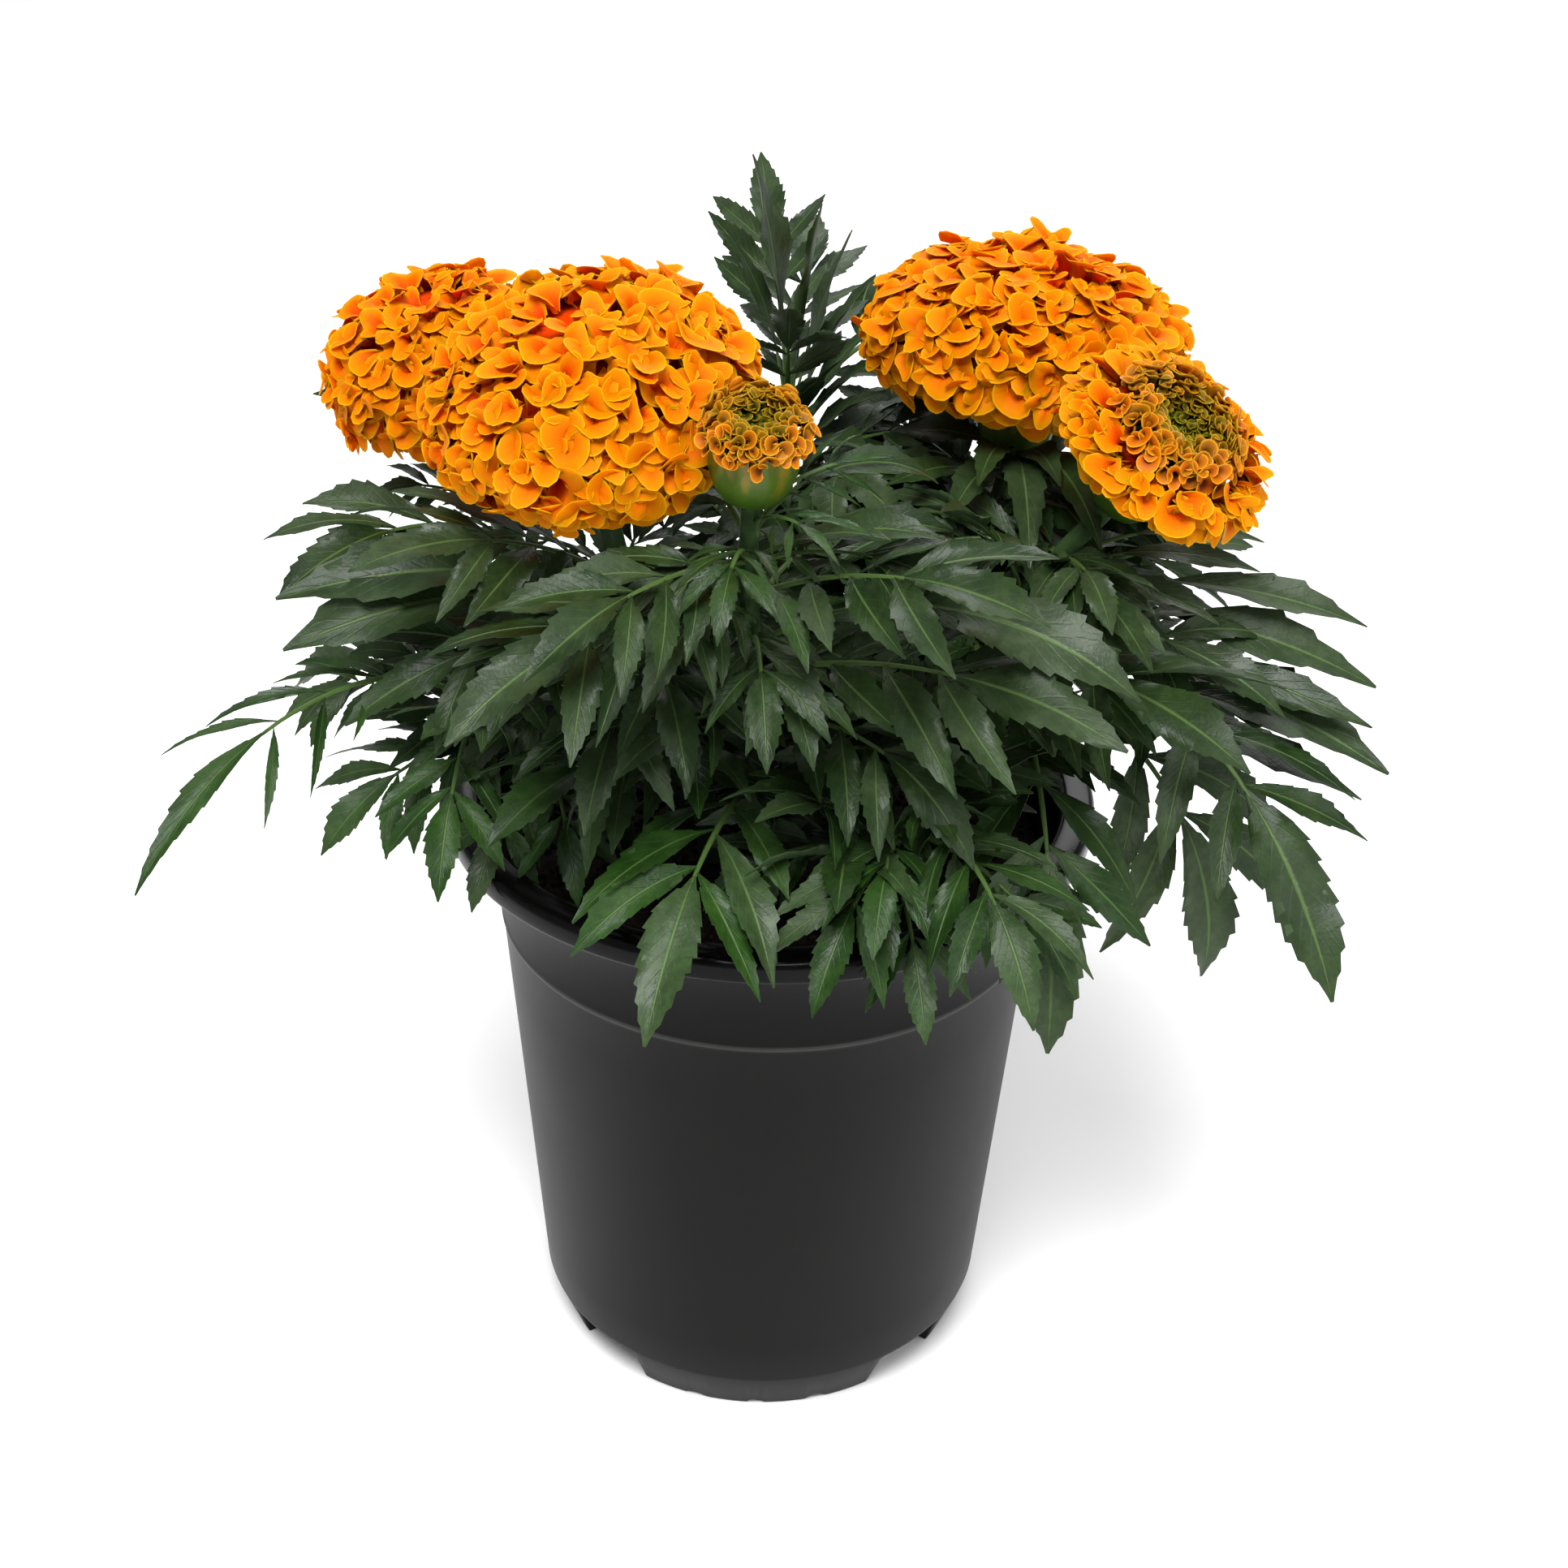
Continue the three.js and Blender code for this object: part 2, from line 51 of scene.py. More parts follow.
# A repeatable draw from 0 to 1 for each number n: the fraction of a large multiple of a sine.
def draw(n):
    x = np.sin(np.asarray(n, float) * 12.9898 + 4.1414) * 43758.5453
    return x - np.floor(x)


# A smooth step from 0 at a to 1 at b.
def ease(x, a, b):
    t = np.clip((x - a) / (b - a), 0, 1)
    return t * t * (3 - 2 * t)


# A value between the two of a pair, at a share from 0 to 1.
def between(pair, share):
    return pair[0] + (pair[1] - pair[0]) * share


# An angle in radians between minus and plus `most` degrees, for draws from 0 to 1.
def swing(most, draws):
    return np.radians(most * (2 * draws - 1))


# Equal turns round a circle, in radians.
def circle(count):
    return np.arange(count) * 2 * math.pi / count


# Directions at each turn from `first` towards `second`: cosine of one plus sine of the other.
def spokes(first, second, turn):
    return first * np.cos(turn)[..., None] + second * np.sin(turn)[..., None]


# Two directions turned in their own plane by an angle.
def turnedPair(first, second, angle):
    c, s = np.cos(angle), np.sin(angle)
    return first * c + second * s, second * c - first * s


# A row across a blade's upper face and back across its lower face, which closes a ring.
def thereAndBack(upper, lower=None):
    lower = upper if lower is None else lower
    return np.concatenate([upper, lower[..., ::-1]], -1)


# Soft lumps on points p: the mean of sines along directions drawn at random, about `size` apart.
def lumps(p, size, seed, waves=7):
    rng = np.random.default_rng(seed)
    ways = unit(rng.normal(size=(waves, 3))) * (2 * math.pi / size)
    ways *= rng.uniform(0.6, 1.5, (waves, 1))
    return np.sin(p @ ways.T + rng.uniform(0, 6.3, waves)).mean(-1)


# Quads of many alike tubes. Each has `rings` rings of `around` points, and both of its ends
# are closed by quads that join the first half of a ring to the second half.
def tubeFaces(tubes, rings, around):
    ring = np.arange(rings - 1)[:, None] * around
    at = np.arange(around)[None, :]
    ahead = (at + 1) % around
    sides = np.stack([ring + at, ring + ahead, ring + around + ahead, ring + around + at], -1)
    i = np.arange(around // 2 - 1)
    low = np.stack([i + 1, i, around - 1 - i, around - 2 - i], -1)
    high = low[:, ::-1] + (rings - 1) * around
    one = np.concatenate([sides.reshape(-1, 4), low, high])
    return np.arange(tubes)[:, None, None] * rings * around + one


# Tubes from points of shape (tube, ring, around, 3), with each one's faces turned outward by
# the sign of its volume. place and kind are numbers that the materials read at each point.
def tubeParts(points, place, kind):
    tubes, rings, around = points.shape[:3]
    faces = tubeFaces(tubes, rings, around)
    flat = points.reshape(-1, 3)
    middle = points.mean((1, 2))[:, None, :]
    a, b, c, d = (flat[faces[:, :, k]] - middle for k in range(4))
    volume = (np.cross(a, b) * c).sum((1, 2)) + (np.cross(a, c) * d).sum((1, 2))
    faces[volume < 0] = faces[volume < 0][:, :, ::-1]
    shape = points.shape[:3]
    place = np.stack([np.broadcast_to(one, shape) for one in place], -1)
    return {
        "points": flat,
        "faces": faces.reshape(-1, 4),
        "place": place.reshape(-1, 3),
        "kind": np.broadcast_to(kind, shape).reshape(-1),
    }


# Parts joined into one: each one's faces count on from the points before it.
def joinParts(parts):
    starts = np.cumsum([0] + [len(p["points"]) for p in parts[:-1]])
    whole = {key: np.concatenate([p[key] for p in parts]) for key in ("points", "place", "kind")}
    return {**whole, "faces": np.concatenate([p["faces"] + s for p, s in zip(parts, starts)])}


# A new object in the scene for some data.
def link(name, data):
    made = bpy.data.objects.new(name, data)
    bpy.context.collection.objects.link(made)
    return made


# A mesh object at the origin, its place in its mesh, which stands for CAD nodes.
def makePiece(name, part, material, nodes):
    faces = part["faces"].astype(np.int32)
    mesh = bpy.data.meshes.new(name)
    mesh.vertices.add(len(part["points"]))
    mesh.vertices.foreach_set("co", (part["points"] * mm).astype(np.float32).ravel())
    mesh.loops.add(faces.size)
    mesh.loops.foreach_set("vertex_index", faces.ravel())
    mesh.polygons.add(len(faces))
    mesh.polygons.foreach_set("loop_start", np.arange(0, faces.size, 4, dtype=np.int32))
    mesh.update(calc_edges=True)
    mesh.polygons.foreach_set("use_smooth", np.ones(len(faces), bool))
    for key, form, values in (("place", "FLOAT_VECTOR", "vector"), ("kind", "FLOAT", "value")):
        numbers = mesh.attributes.new(key, form, "POINT")
        numbers.data.foreach_set(values, part[key].astype(np.float32).ravel())
    mesh.set_sharp_from_angle(angle=math.radians(75))
    piece = link(name, mesh)
    mesh.materials.append(material)
    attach(piece, potBody)
    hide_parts(*nodes)
    print(f"{name}: {len(faces)} faces")
    return piece


# A node tree with short ways to add nodes and link them.
class Nodes:
    def __init__(self, name):
        self.material = bpy.data.materials.new(name)
        self.material.use_nodes = True
        self.tree = self.material.node_tree
        self.shader = self.tree.nodes["Principled BSDF"]

    # A node of a kind, with values or links for its inputs and settings of its own.
    def add(self, kind, inputs=(), **settings):
        node = self.tree.nodes.new(kind)
        for key, value in settings.items():
            setattr(node, key, value)
        for key, value in dict(inputs).items():
            self.feed(node.inputs[key], value)
        return node

    def feed(self, socket, value):
        if isinstance(value, bpy.types.NodeSocket):
            self.tree.links.new(value, socket)
        else:
            socket.default_value = value

    def math(self, operation, a, b=0.0):
        return self.add("ShaderNodeMath", {0: a, 1: b}, operation=operation).outputs[0]

    def plus(self, a, b):
        return self.math("ADD", a, b)

    def less(self, a, b):
        return self.math("SUBTRACT", a, b)

    def times(self, a, b):
        return self.math("MULTIPLY", a, b)

    # A smooth step from toLow at low to toHigh at high.
    def mapped(self, value, low, high, toLow=0.0, toHigh=1.0):
        inputs = {"Value": value, "From Min": low, "From Max": high}
        inputs.update({"To Min": toLow, "To Max": toHigh})
        kind = "SMOOTHSTEP"
        return self.add("ShaderNodeMapRange", inputs, interpolation_type=kind).outputs[0]

    # The first color, and the second one in its place by a share.
    def mix(self, share, first, second):
        node = self.add("ShaderNodeMix", {0: share}, data_type="RGBA")
        for socket, color in ((node.inputs[6], first), (node.inputs[7], second)):
            self.feed(socket, color if isinstance(color, bpy.types.NodeSocket) else (*color, 1))
        return node.outputs[2]

    # Cloudy values at points in metres, or at another vector.
    def noise(self, scale, detail=3.0, roughness=0.55, where=None):
        where = where or self.add("ShaderNodeTexCoord").outputs["Object"]
        inputs = {"Vector": where, "Scale": scale, "Detail": detail, "Roughness": roughness}
        return self.add("ShaderNodeTexNoise", inputs).outputs["Fac"]

    # A color for a value, between stops of (value, color).
    def ramp(self, value, stops):
        node = self.add("ShaderNodeValToRGB", {0: value})
        band = node.color_ramp
        band.elements[0].position, band.elements[0].color = stops[0][0], (*stops[0][1], 1)
        band.elements[1].position, band.elements[1].color = stops[-1][0], (*stops[-1][1], 1)
        for at, color in stops[1:-1]:
            band.elements.new(at).color = (*color, 1)
        return node.outputs[0]

    # The three numbers of `place` at a point.
    def place(self):
        vector = self.add("ShaderNodeAttribute", attribute_name="place").outputs["Vector"]
        return self.add("ShaderNodeSeparateXYZ", {0: vector}).outputs

    # `kind` without the 2 that an underside has, and whether a point is underneath, 0 or 1.
    def kindAndSide(self):
        kind = self.add("ShaderNodeAttribute", attribute_name="kind").outputs["Fac"]
        under = self.mapped(kind, 1.4, 1.6)
        return self.less(kind, self.times(under, 2.0)), under

    # How deep inside the plant a point lies, for painted shade: 1 near its middle, 0 at its outer
    # leaves.
    def inside(self):
        where = self.add("ShaderNodeTexCoord").outputs["Object"]
        inputs = {"Vector": where, "Location": (0, 0, -0.19), "Scale": (1.0, 1.0, 1.25)}
        moved = self.add("ShaderNodeMapping", inputs, vector_type="POINT").outputs[0]
        far = self.add("ShaderNodeVectorMath", {0: moved}, operation="LENGTH").outputs["Value"]
        return self.mapped(far, 0.035, 0.095, 0.8, 0.0)

    # The material, with a relief that is `depth` millimetres deep.
    def finish(self, color, roughness, height, depth, **fixed):
        self.feed(self.shader.inputs["Base Color"], color)
        self.feed(self.shader.inputs["Roughness"], roughness)
        bump = self.add("ShaderNodeBump", {"Height": height, "Strength": 1.0, "Distance": depth * mm})
        self.feed(self.shader.inputs["Normal"], bump.outputs[0])
        for key, value in fixed.items():
            self.shader.inputs[key.replace("_", " ")].default_value = value
        return self.material


# Leaf: dark green between a pale midrib and faint forward side veins, greyer underneath, and darkened
# by painted shade deep inside the plant.
# place is (share along the leaflet, share across it from -1 to 1, a draw for each leaflet) and
# kind is how young the leaf is, with 2 added on the underside.
def leafMaterial():
    n = Nodes("leaf_blade")
    along, across, tone = n.place()
    young, under = n.kindAndSide()
    out = n.math("ABSOLUTE", across)
    midrib = n.mapped(out, 0.02, 0.1, 1.0, 0.0)
    slant = n.less(n.times(along, 9.0), n.times(out, 2.2))
    toVein = n.math("PINGPONG", n.plus(slant, 20.0), 0.5)
    vein = n.mapped(toVein, 0.0, 0.14, 1.0, 0.0)
    vein = n.times(vein, n.mapped(out, 0.5, 1.0, 1.0, 0.0))
    cloud = n.noise(60.0)
    fine = n.noise(1100.0, 2.0)
    clouded = n.mapped(cloud, 0.35, 0.65)
    old = n.mix(clouded, (0.0085, 0.025, 0.0042), (0.023, 0.0475, 0.011))
    fresh = n.mix(clouded, (0.0095, 0.044, 0.0026), (0.023, 0.079, 0.0055))
    color = n.mix(young, old, fresh)
    color = n.mix(n.mapped(tone, 0.45, 1.0, 0.0, 0.55), color, (0.052, 0.08, 0.035))
    spots = n.mapped(n.noise(320.0, 5.0, 0.7), 0.35, 0.75, 0.45, 0.0)
    color = n.mix(spots, color, (0.004, 0.011, 0.002))
    color = n.mix(n.times(vein, 0.14), color, (0.045, 0.08, 0.028))
    color = n.mix(n.times(midrib, 0.55), color, (0.085, 0.15, 0.038))
    color = n.mix(n.times(under, 0.6), color, (0.037, 0.064, 0.026))
    # painted shade: leaves deep inside the plant are darkened, as if shadowed by those outside
    color = n.mix(n.inside(), color, (0.0045, 0.011, 0.0025))
    height = n.less(n.times(fine, 0.45), n.times(vein, 0.18))
    height = n.less(height, n.times(midrib, 0.7))
    rough = n.mapped(cloud, 0.3, 0.7, 0.36, 0.5)
    return n.finish(color, rough, height, 0.2, Specular_IOR_Level=0.24)


# Stem: green with darker streaks and a browner foot. place is (share along, turn, -).
def stemMaterial():
    n = Nodes("stem_skin")
    along = n.place()[0]
    streak = n.noise(160.0, 4.0)
    color = n.mix(n.mapped(streak, 0.35, 0.7), (0.018, 0.045, 0.012), (0.042, 0.085, 0.024))
    color = n.mix(n.mapped(along, 0.0, 0.3, 0.6, 0.0), color, (0.03, 0.024, 0.012))
    return n.finish(color, 0.5, n.noise(500.0), 0.12, Specular_IOR_Level=0.3)


# Calyx: smooth green with upright streaks of yellow orange. place is (height, turn, -), both as
# shares.
def calyxMaterial():
    n = Nodes("calyx_skin")
    along, turn = n.place()[:2]
    rays = n.add("ShaderNodeCombineXYZ", {0: n.times(turn, 9.0), 1: along})
    streak = n.noise(1.6, 3.0, where=rays.outputs[0])
    color = n.mix(n.mapped(along, 0.2, 1.0), (0.034, 0.085, 0.005), (0.08, 0.13, 0.008))
    warm = n.times(n.mapped(streak, 0.5, 0.66), n.mapped(along, 0.15, 0.8))
    color = n.mix(n.times(warm, 0.6), color, (0.25, 0.15, 0.005))
    return n.finish(color, 0.36, n.noise(400.0), 0.1, Specular_IOR_Level=0.35)


# Petal: glowing orange, deepened by painted shade in its throat and made paler along its rim by a
# painted highlight, golden underneath.
# place is (share along, share across, draw); kind is how olive it is, plus 2 underneath.
def petalMaterial():
    n = Nodes("petal_skin")
    along, across, tone = n.place()
    olive, under = n.kindAndSide()
    # painted shade: the orange deepens towards the root, down in the petal's throat
    stops = [(0.0, (0.5, 0.024, 0.0)), (0.52, (0.62, 0.052, 0.0)), (0.72, (0.65, 0.104, 0.0))]
    stops += [(0.87, (0.66, 0.164, 0.0)), (1.0, (0.66, 0.208, 0.0))]
    color = n.ramp(along, stops)
    color = n.mix(n.mapped(tone, 0.5, 1.0, 0.0, 0.25), color, (0.66, 0.118, 0.0))
    color = n.mix(n.times(under, 0.5), color, (0.66, 0.164, 0.0))
    # painted highlight: a thin paler line along the petal's rim and tip
    out = n.math("ABSOLUTE", across)
    rim = n.math("MAXIMUM", n.mapped(out, 0.93, 1.0), n.mapped(along, 0.965, 1.0))
    rim = n.times(rim, n.mapped(along, 0.3, 0.7))
    color = n.mix(n.times(rim, 0.7), color, (0.78, 0.36, 0.004))
    color = n.mix(olive, color, (0.38, 0.245, 0.004))
    ribs = n.math("SINE", n.times(across, 22.0))
    height = n.plus(n.times(ribs, 0.4), n.noise(700.0, 2.0))
    fixed = {"Subsurface_Weight": 0.45, "Subsurface_Scale": 0.002, "Specular_IOR_Level": 0.04}
    return n.finish(color, 0.6, height, 0.07, **fixed)


# Floret: a small funnel, darkened by painted shade in its throat and with a thin painted highlight
# along
# its rim: dark green in the disc's middle, olive further out and golden orange at its edge. place is
# as for a petal; kind is the share from the disc's middle to its edge, plus 2 underneath.
def floretMaterial():
    n = Nodes("floret_skin")
    along, across = n.place()[:2]
    reach = n.kindAndSide()[0]
    # painted shade: the throat's colours are darker than the lip's
    stops = [(0.0, (0.004, 0.018, 0.001)), (0.4, (0.02, 0.04, 0.001))]
    stops += [(0.66, (0.075, 0.045, 0.001)), (1.0, (0.2, 0.032, 0.0))]
    throat = n.ramp(reach, stops)
    stops = [(0.0, (0.016, 0.046, 0.001)), (0.4, (0.08, 0.092, 0.002))]
    stops += [(0.66, (0.21, 0.105, 0.001)), (1.0, (0.54, 0.13, 0.0))]
    lip = n.ramp(reach, stops)
    stops = [(0.0, (0.06, 0.12, 0.005)), (0.4, (0.28, 0.235, 0.008)), (1.0, (0.78, 0.32, 0.012))]
    rim = n.ramp(reach, stops)
    color = n.mix(n.mapped(along, 0.62, 0.98), throat, lip)
    # painted highlight: a thin paler line along the floret's rim and tip
    out = n.math("ABSOLUTE", across)
    edge = n.math("MAXIMUM", n.mapped(out, 0.88, 1.0), n.mapped(along, 0.93, 1.0))
    edge = n.times(edge, n.mapped(along, 0.5, 0.9))
    color = n.mix(n.times(edge, 0.85), color, rim)
    fixed = {"Subsurface_Weight": 0.15, "Subsurface_Scale": 0.001, "Specular_IOR_Level": 0.12}
    return n.finish(color, 0.5, n.noise(900.0), 0.05, **fixed)


# Pot: satin black plastic with a fine grain, faint clouds and a few scuffs, glossier on its lip,
# which painted shade darkens, and with a painted highlight along the top of the band. place is
# (-, band highlight, gloss and shade).
def potMaterial():
    n = Nodes("pot_plastic")
    bandHighlight, glossAndShade = n.place()[1:]
    cloud = n.noise(9.0, 4.0)
    scuff = n.noise(70.0, 6.0, 0.7)
    grain = n.noise(1400.0, 2.0)
    color = n.mix(n.mapped(cloud, 0.3, 0.7), (0.0034, 0.0034, 0.0033), (0.0052, 0.0052, 0.005))
    color = n.mix(n.mapped(scuff, 0.62, 0.8, 0.0, 0.5), color, (0.014, 0.014, 0.0135))
    # painted shade: the lip's colour is darker where it is glossier
    color = n.mix(n.times(glossAndShade, 0.7), color, (0.0012, 0.0012, 0.0012))
    # painted highlight: a pale line along the top of the band
    color = n.mix(n.times(bandHighlight, 0.8), color, (0.045, 0.045, 0.043))
    rough = n.plus(n.mapped(cloud, 0.3, 0.7, 0.42, 0.47), n.times(glossAndShade, -0.22))
    height = n.plus(n.times(scuff, 0.3), n.times(grain, 0.7))
    return n.finish(color, rough, height, 0.025, Specular_IOR_Level=0.11)


# Potting mix: dark peat with browner crumbs. place is (tone, -, -).
def soilMaterial():
    n = Nodes("soil_crumb")
    tone = n.place()[0]
    speck = n.noise(420.0, 6.0, 0.7)
    color = n.mix(n.mapped(speck, 0.3, 0.7), (0.005, 0.0033, 0.0022), (0.018, 0.0115, 0.0075))
    color = n.mix(n.mapped(tone, 0.7, 1.0, 0.0, 0.7), color, (0.045, 0.029, 0.016))
    return n.finish(color, 0.95, n.noise(300.0, 6.0, 0.7), 0.8, Specular_IOR_Level=0.15)


leafSkin = leafMaterial()
stemSkin = stemMaterial()
calyxSkin = calyxMaterial()
petalSkin = petalMaterial()
floretSkin = floretMaterial()
potPlastic = potMaterial()
soilCrumb = soilMaterial()
print("materials made")

potShape = {
    "height": 162,
    "rimRadius": 82.5,
    "lipHeight": 6.5,
    "collarTopRadius": 73.5,
    "bandHeight": 127,
    "bandRadius": 69,
    "wallFootRadius": 60.5,
    "wallFootHeight": 13,
    "footRadius": 55.5,
    "footRing": 2.5,
    "wall": 1.8,
    "feet": 4,
    "footGap": 24,
    "notchTurns": (-17, 0, 17),
    "notchGap": 5,
    "notchHeight": 1.6,
    "holeRadius": 6,
    "columns": 288,
}


# The wall's inner radius at a height: straight from foot to band, and from band to lip.
def innerRadius(z):
    p = potShape
    heights = [p["wallFootHeight"], p["bandHeight"], p["height"] - p["lipHeight"]]
    radii = [p["wallFootRadius"], p["bandRadius"], p["collarTopRadius"]]
    return np.interp(z, heights, radii) - p["wall"]


# How high the foot ring's edge is at each turn: the ground under a foot, an arch in each of
# the gaps between feet, and a small round notch at each notch turn.
def footEdge(turn):
    p = potShape
    step = 360 / p["feet"]
    offGap = np.abs(turn % step - step / 2)
    gap = 1 - ease(offGap, p["footGap"] / 2 - 1.2, p["footGap"] / 2 + 0.6)
    edge = gap * (p["wallFootHeight"] - 1.2)
    for middle in p["notchTurns"]:
        off = np.abs((turn - middle + step / 2) % step - step / 2) / (p["notchGap"] / 2)
        edge = np.maximum(edge, p["notchHeight"] * np.sqrt(np.clip(1 - off**2, 0, 1)))
    return edge


# The pot is a profile of (radius, height, gloss and painted shade, at foot) turned about Z. Rows
# at its foot run down only as far as footEdge and lean out to meet the wall there.
def makePot():
    p = potShape
    top, foot = p["height"], p["wallFootHeight"]
    lipLow, band = top - p["lipHeight"], p["bandHeight"]
    collar, rim, bandRadius = p["collarTopRadius"], p["rimRadius"], p["bandRadius"]
    wallFoot, ringOut, ringIn = p["wallFootRadius"], p["footRadius"], p["footRadius"] - p["footRing"]
    profile = [(1, foot - 1, 0, 0), (ringIn - 1.5, foot - 1, 0, 0)]
    profile += [(ringIn, 0, 0, 1), (ringOut - 0.4, 0, 0, 1), (ringOut, 0.4, 0, 1)]
    profile += [(wallFoot - 0.35, foot - 0.8, 0, 0), (wallFoot, foot + 0.3, 0, 0)]
    for s in np.linspace(0.1, 0.995, 9):
        profile.append((wallFoot + s * (bandRadius - wallFoot), between((foot + 0.3, band), s), 0, 0))
    for out, up in ((0.15, 0.2), (0.36, 0.6), (0.46, 1.0), (0.36, 1.4), (0.15, 1.8)):
        profile.append((bandRadius + out, band + up, 0, 0))
    profile += [(collar - 0.3, lipLow - 1.2, 0.3, 0), (collar + 0.5, lipLow, 0.6, 0)]
    profile += [(rim - 0.8, lipLow + 0.5, 1, 0), (rim - 0.15, lipLow + 0.8, 1, 0)]
    profile += [(rim, lipLow + 1.5, 1, 0), (rim, top - 2.2, 1, 0), (rim - 0.3, top - 1.1, 1, 0)]
    profile += [(rim - 0.9, top - 0.35, 1, 0), (rim - 1.9, top, 1, 0)]
    profile += [(collar + 2.0, top, 1, 0), (collar + 0.9, top - 0.5, 1, 0)]
    profile += [(collar - 0.9, lipLow - 0.5, 1, 0), (innerRadius(lipLow) - 0.1, lipLow - 2.5, 0.5, 0)]
    profile += [(innerRadius(band), band, 0, 0), (innerRadius(foot + 2), foot + 2, 0, 0)]
    profile += [(1, foot + 1.8, 0, 0)]
    radius, height, glossAndShade, atFoot = (np.array(c)[:, None] for c in zip(*profile))
    # the top of the band, which gets a painted highlight
    onBand = (np.abs(height - band - 1.0) < 0.5) & (radius > bandRadius)
    turn = np.arange(p["columns"]) * 360 / p["columns"]
    edge = footEdge(turn)[None, :]
    height = height + atFoot * edge * np.where(height < 0.3, 1, 0.97)
    outward = atFoot * (edge / foot) * (wallFoot - ringOut) * 0.9
    radius = radius + outward
    angle = np.radians(turn)[None, :]
    points = np.stack([radius * np.cos(angle), radius * np.sin(angle), height + 0 * angle], -1)
    return tubeParts(points[None], (0, 1.0 * onBand[None], glossAndShade[None]), 0)


# One round hole through the floor behind each arch, cut with a tube from below it to above it.
def drainHoles(pot):
    p = potShape
    cuts = []
    turns = circle(24)
    for i in range(p["feet"]):
        middle = math.radians(360 / p["feet"] * (i + 0.5))
        reach = p["footRadius"] - p["holeRadius"] - 5
        x = reach * math.cos(middle) + p["holeRadius"] * np.cos(turns)
        y = reach * math.sin(middle) + p["holeRadius"] * np.sin(turns)
        rows = [np.stack([x, y, np.full(24, z)], -1) for z in (9.0, 18.0)]
        cuts.append(tubeParts(np.stack(rows)[None], (0, 0, 0), 0))
    made = joinParts(cuts)
    mesh = bpy.data.meshes.new("holes")
    mesh.from_pydata((made["points"] * mm).tolist(), [], made["faces"].tolist())
    cutter = link("holes", mesh)
    modifier = pot.modifiers.new("drain holes", "BOOLEAN")
    modifier.operation, modifier.object, modifier.solver = "DIFFERENCE", cutter, "EXACT"
    graph = bpy.context.evaluated_depsgraph_get()
    cut = bpy.data.meshes.new_from_object(pot.evaluated_get(graph))
    pot.modifiers.clear()
    pot.data = cut
    bpy.data.objects.remove(cutter)


pot = makePiece("nursery_pot", makePot(), potPlastic, ["pot"])
drainHoles(pot)

soilShape = {"top": 146, "gap": 0.5, "rings": 34, "columns": 150, "crumbs": 1700, "stemDepth": 14}


# Height of the soil at a distance from the middle and points in plan: level, with soft lumps.
def soilHeight(radius, where):
    low = soilShape["top"] - 1.2 * ease(radius, 45, 75)
    return low + 1.5 * lumps(where, 17, 3) + 0.8 * lumps(where, 6, 4)


# One closed turned body: the floor, the side against the wall, then the lumpy top in rings.
def makeSoil():
    p = soilShape
    low, band = potShape["wallFootHeight"] + potShape["wall"] + 0.3, potShape["bandHeight"]
    outer = innerRadius(p["top"] - 2) - p["gap"]
    radius = [0.5, innerRadius(low) - p["gap"], innerRadius(band) - p["gap"], outer]
    radius = np.concatenate([radius, np.linspace(outer - 0.4, 0.5, p["rings"])])
    height = np.concatenate([[low, low, band, p["top"] - 3], np.zeros(p["rings"])])
    angle = circle(p["columns"])
    x, y = radius[:, None] * np.cos(angle), radius[:, None] * np.sin(angle)
    where = np.stack([x, y, 0 * x], -1)
    onTop = np.arange(len(radius))[:, None] >= 4
    z = np.where(onTop, soilHeight(radius[:, None], where), height[:, None])
    body = tubeParts(np.stack([x, y, z], -1)[None], (lumps(where, 3, 5), 0, 0), 0)
    # crumbs: squashed six-sided balls, each turned and sized by its own draw
    rng = np.random.default_rng(11)
    count = p["crumbs"]
    far = outer * np.sqrt(rng.uniform(0.0, 0.97, count))
    turn = rng.uniform(0, 2 * math.pi, count)
    size = rng.uniform(0.5, 1.9, count) * rng.uniform(0.6, 1.0, count)
    centre = np.stack([far * np.cos(turn), far * np.sin(turn), 0 * far], -1)
    centre[:, 2] = soilHeight(far, centre) + size * 0.25
    rise = np.radians([-80, -30, 30, 80])[:, None]
    c, s = np.cos(circle(6)), np.sin(circle(6))
    ball = np.stack([np.cos(rise) * c, np.cos(rise) * s, np.sin(rise) + 0 * c], -1)
    rough = 1 + 0.3 * rng.uniform(-1, 1, (count, 4, 6))
    stretch = rng.uniform(0.6, 1.3, (count, 1, 1, 3))
    turned = np.einsum("nij,rkj->nrki", turnsAtRandom(rng, count), ball)
    crumbs = centre[:, None, None] + turned * stretch * (rough * size[:, None, None])[..., None]
    tone = rng.uniform(0, 1, count)[:, None, None]
    return joinParts([body, tubeParts(crumbs, (tone, 0, 0), 0)])


# Rotation matrices of unit quaternions drawn at random.
def turnsAtRandom(rng, count):
    w, x, y, z = unit(rng.normal(size=(count, 4))).T
    rows = [1 - 2 * (y * y + z * z), 2 * (x * y - z * w), 2 * (x * z + y * w)]
    rows += [2 * (x * y + z * w), 1 - 2 * (x * x + z * z), 2 * (y * z - x * w)]
    rows += [2 * (x * z - y * w), 2 * (y * z + x * w), 1 - 2 * (x * x + y * y)]
    return np.stack(rows, -1).reshape(count, 3, 3)


makePiece("potting_soil", makeSoil(), soilCrumb, ["potting_mix"])

# Flower heads and stems stand where the solids have them. centre is the middle of the widest
# level; up and down are the half-heights above and below it.
def headPlan(centre, across, up, down, aim):
    return {"centre": centre, "across": across, "up": up, "down": down, "aim": aim}


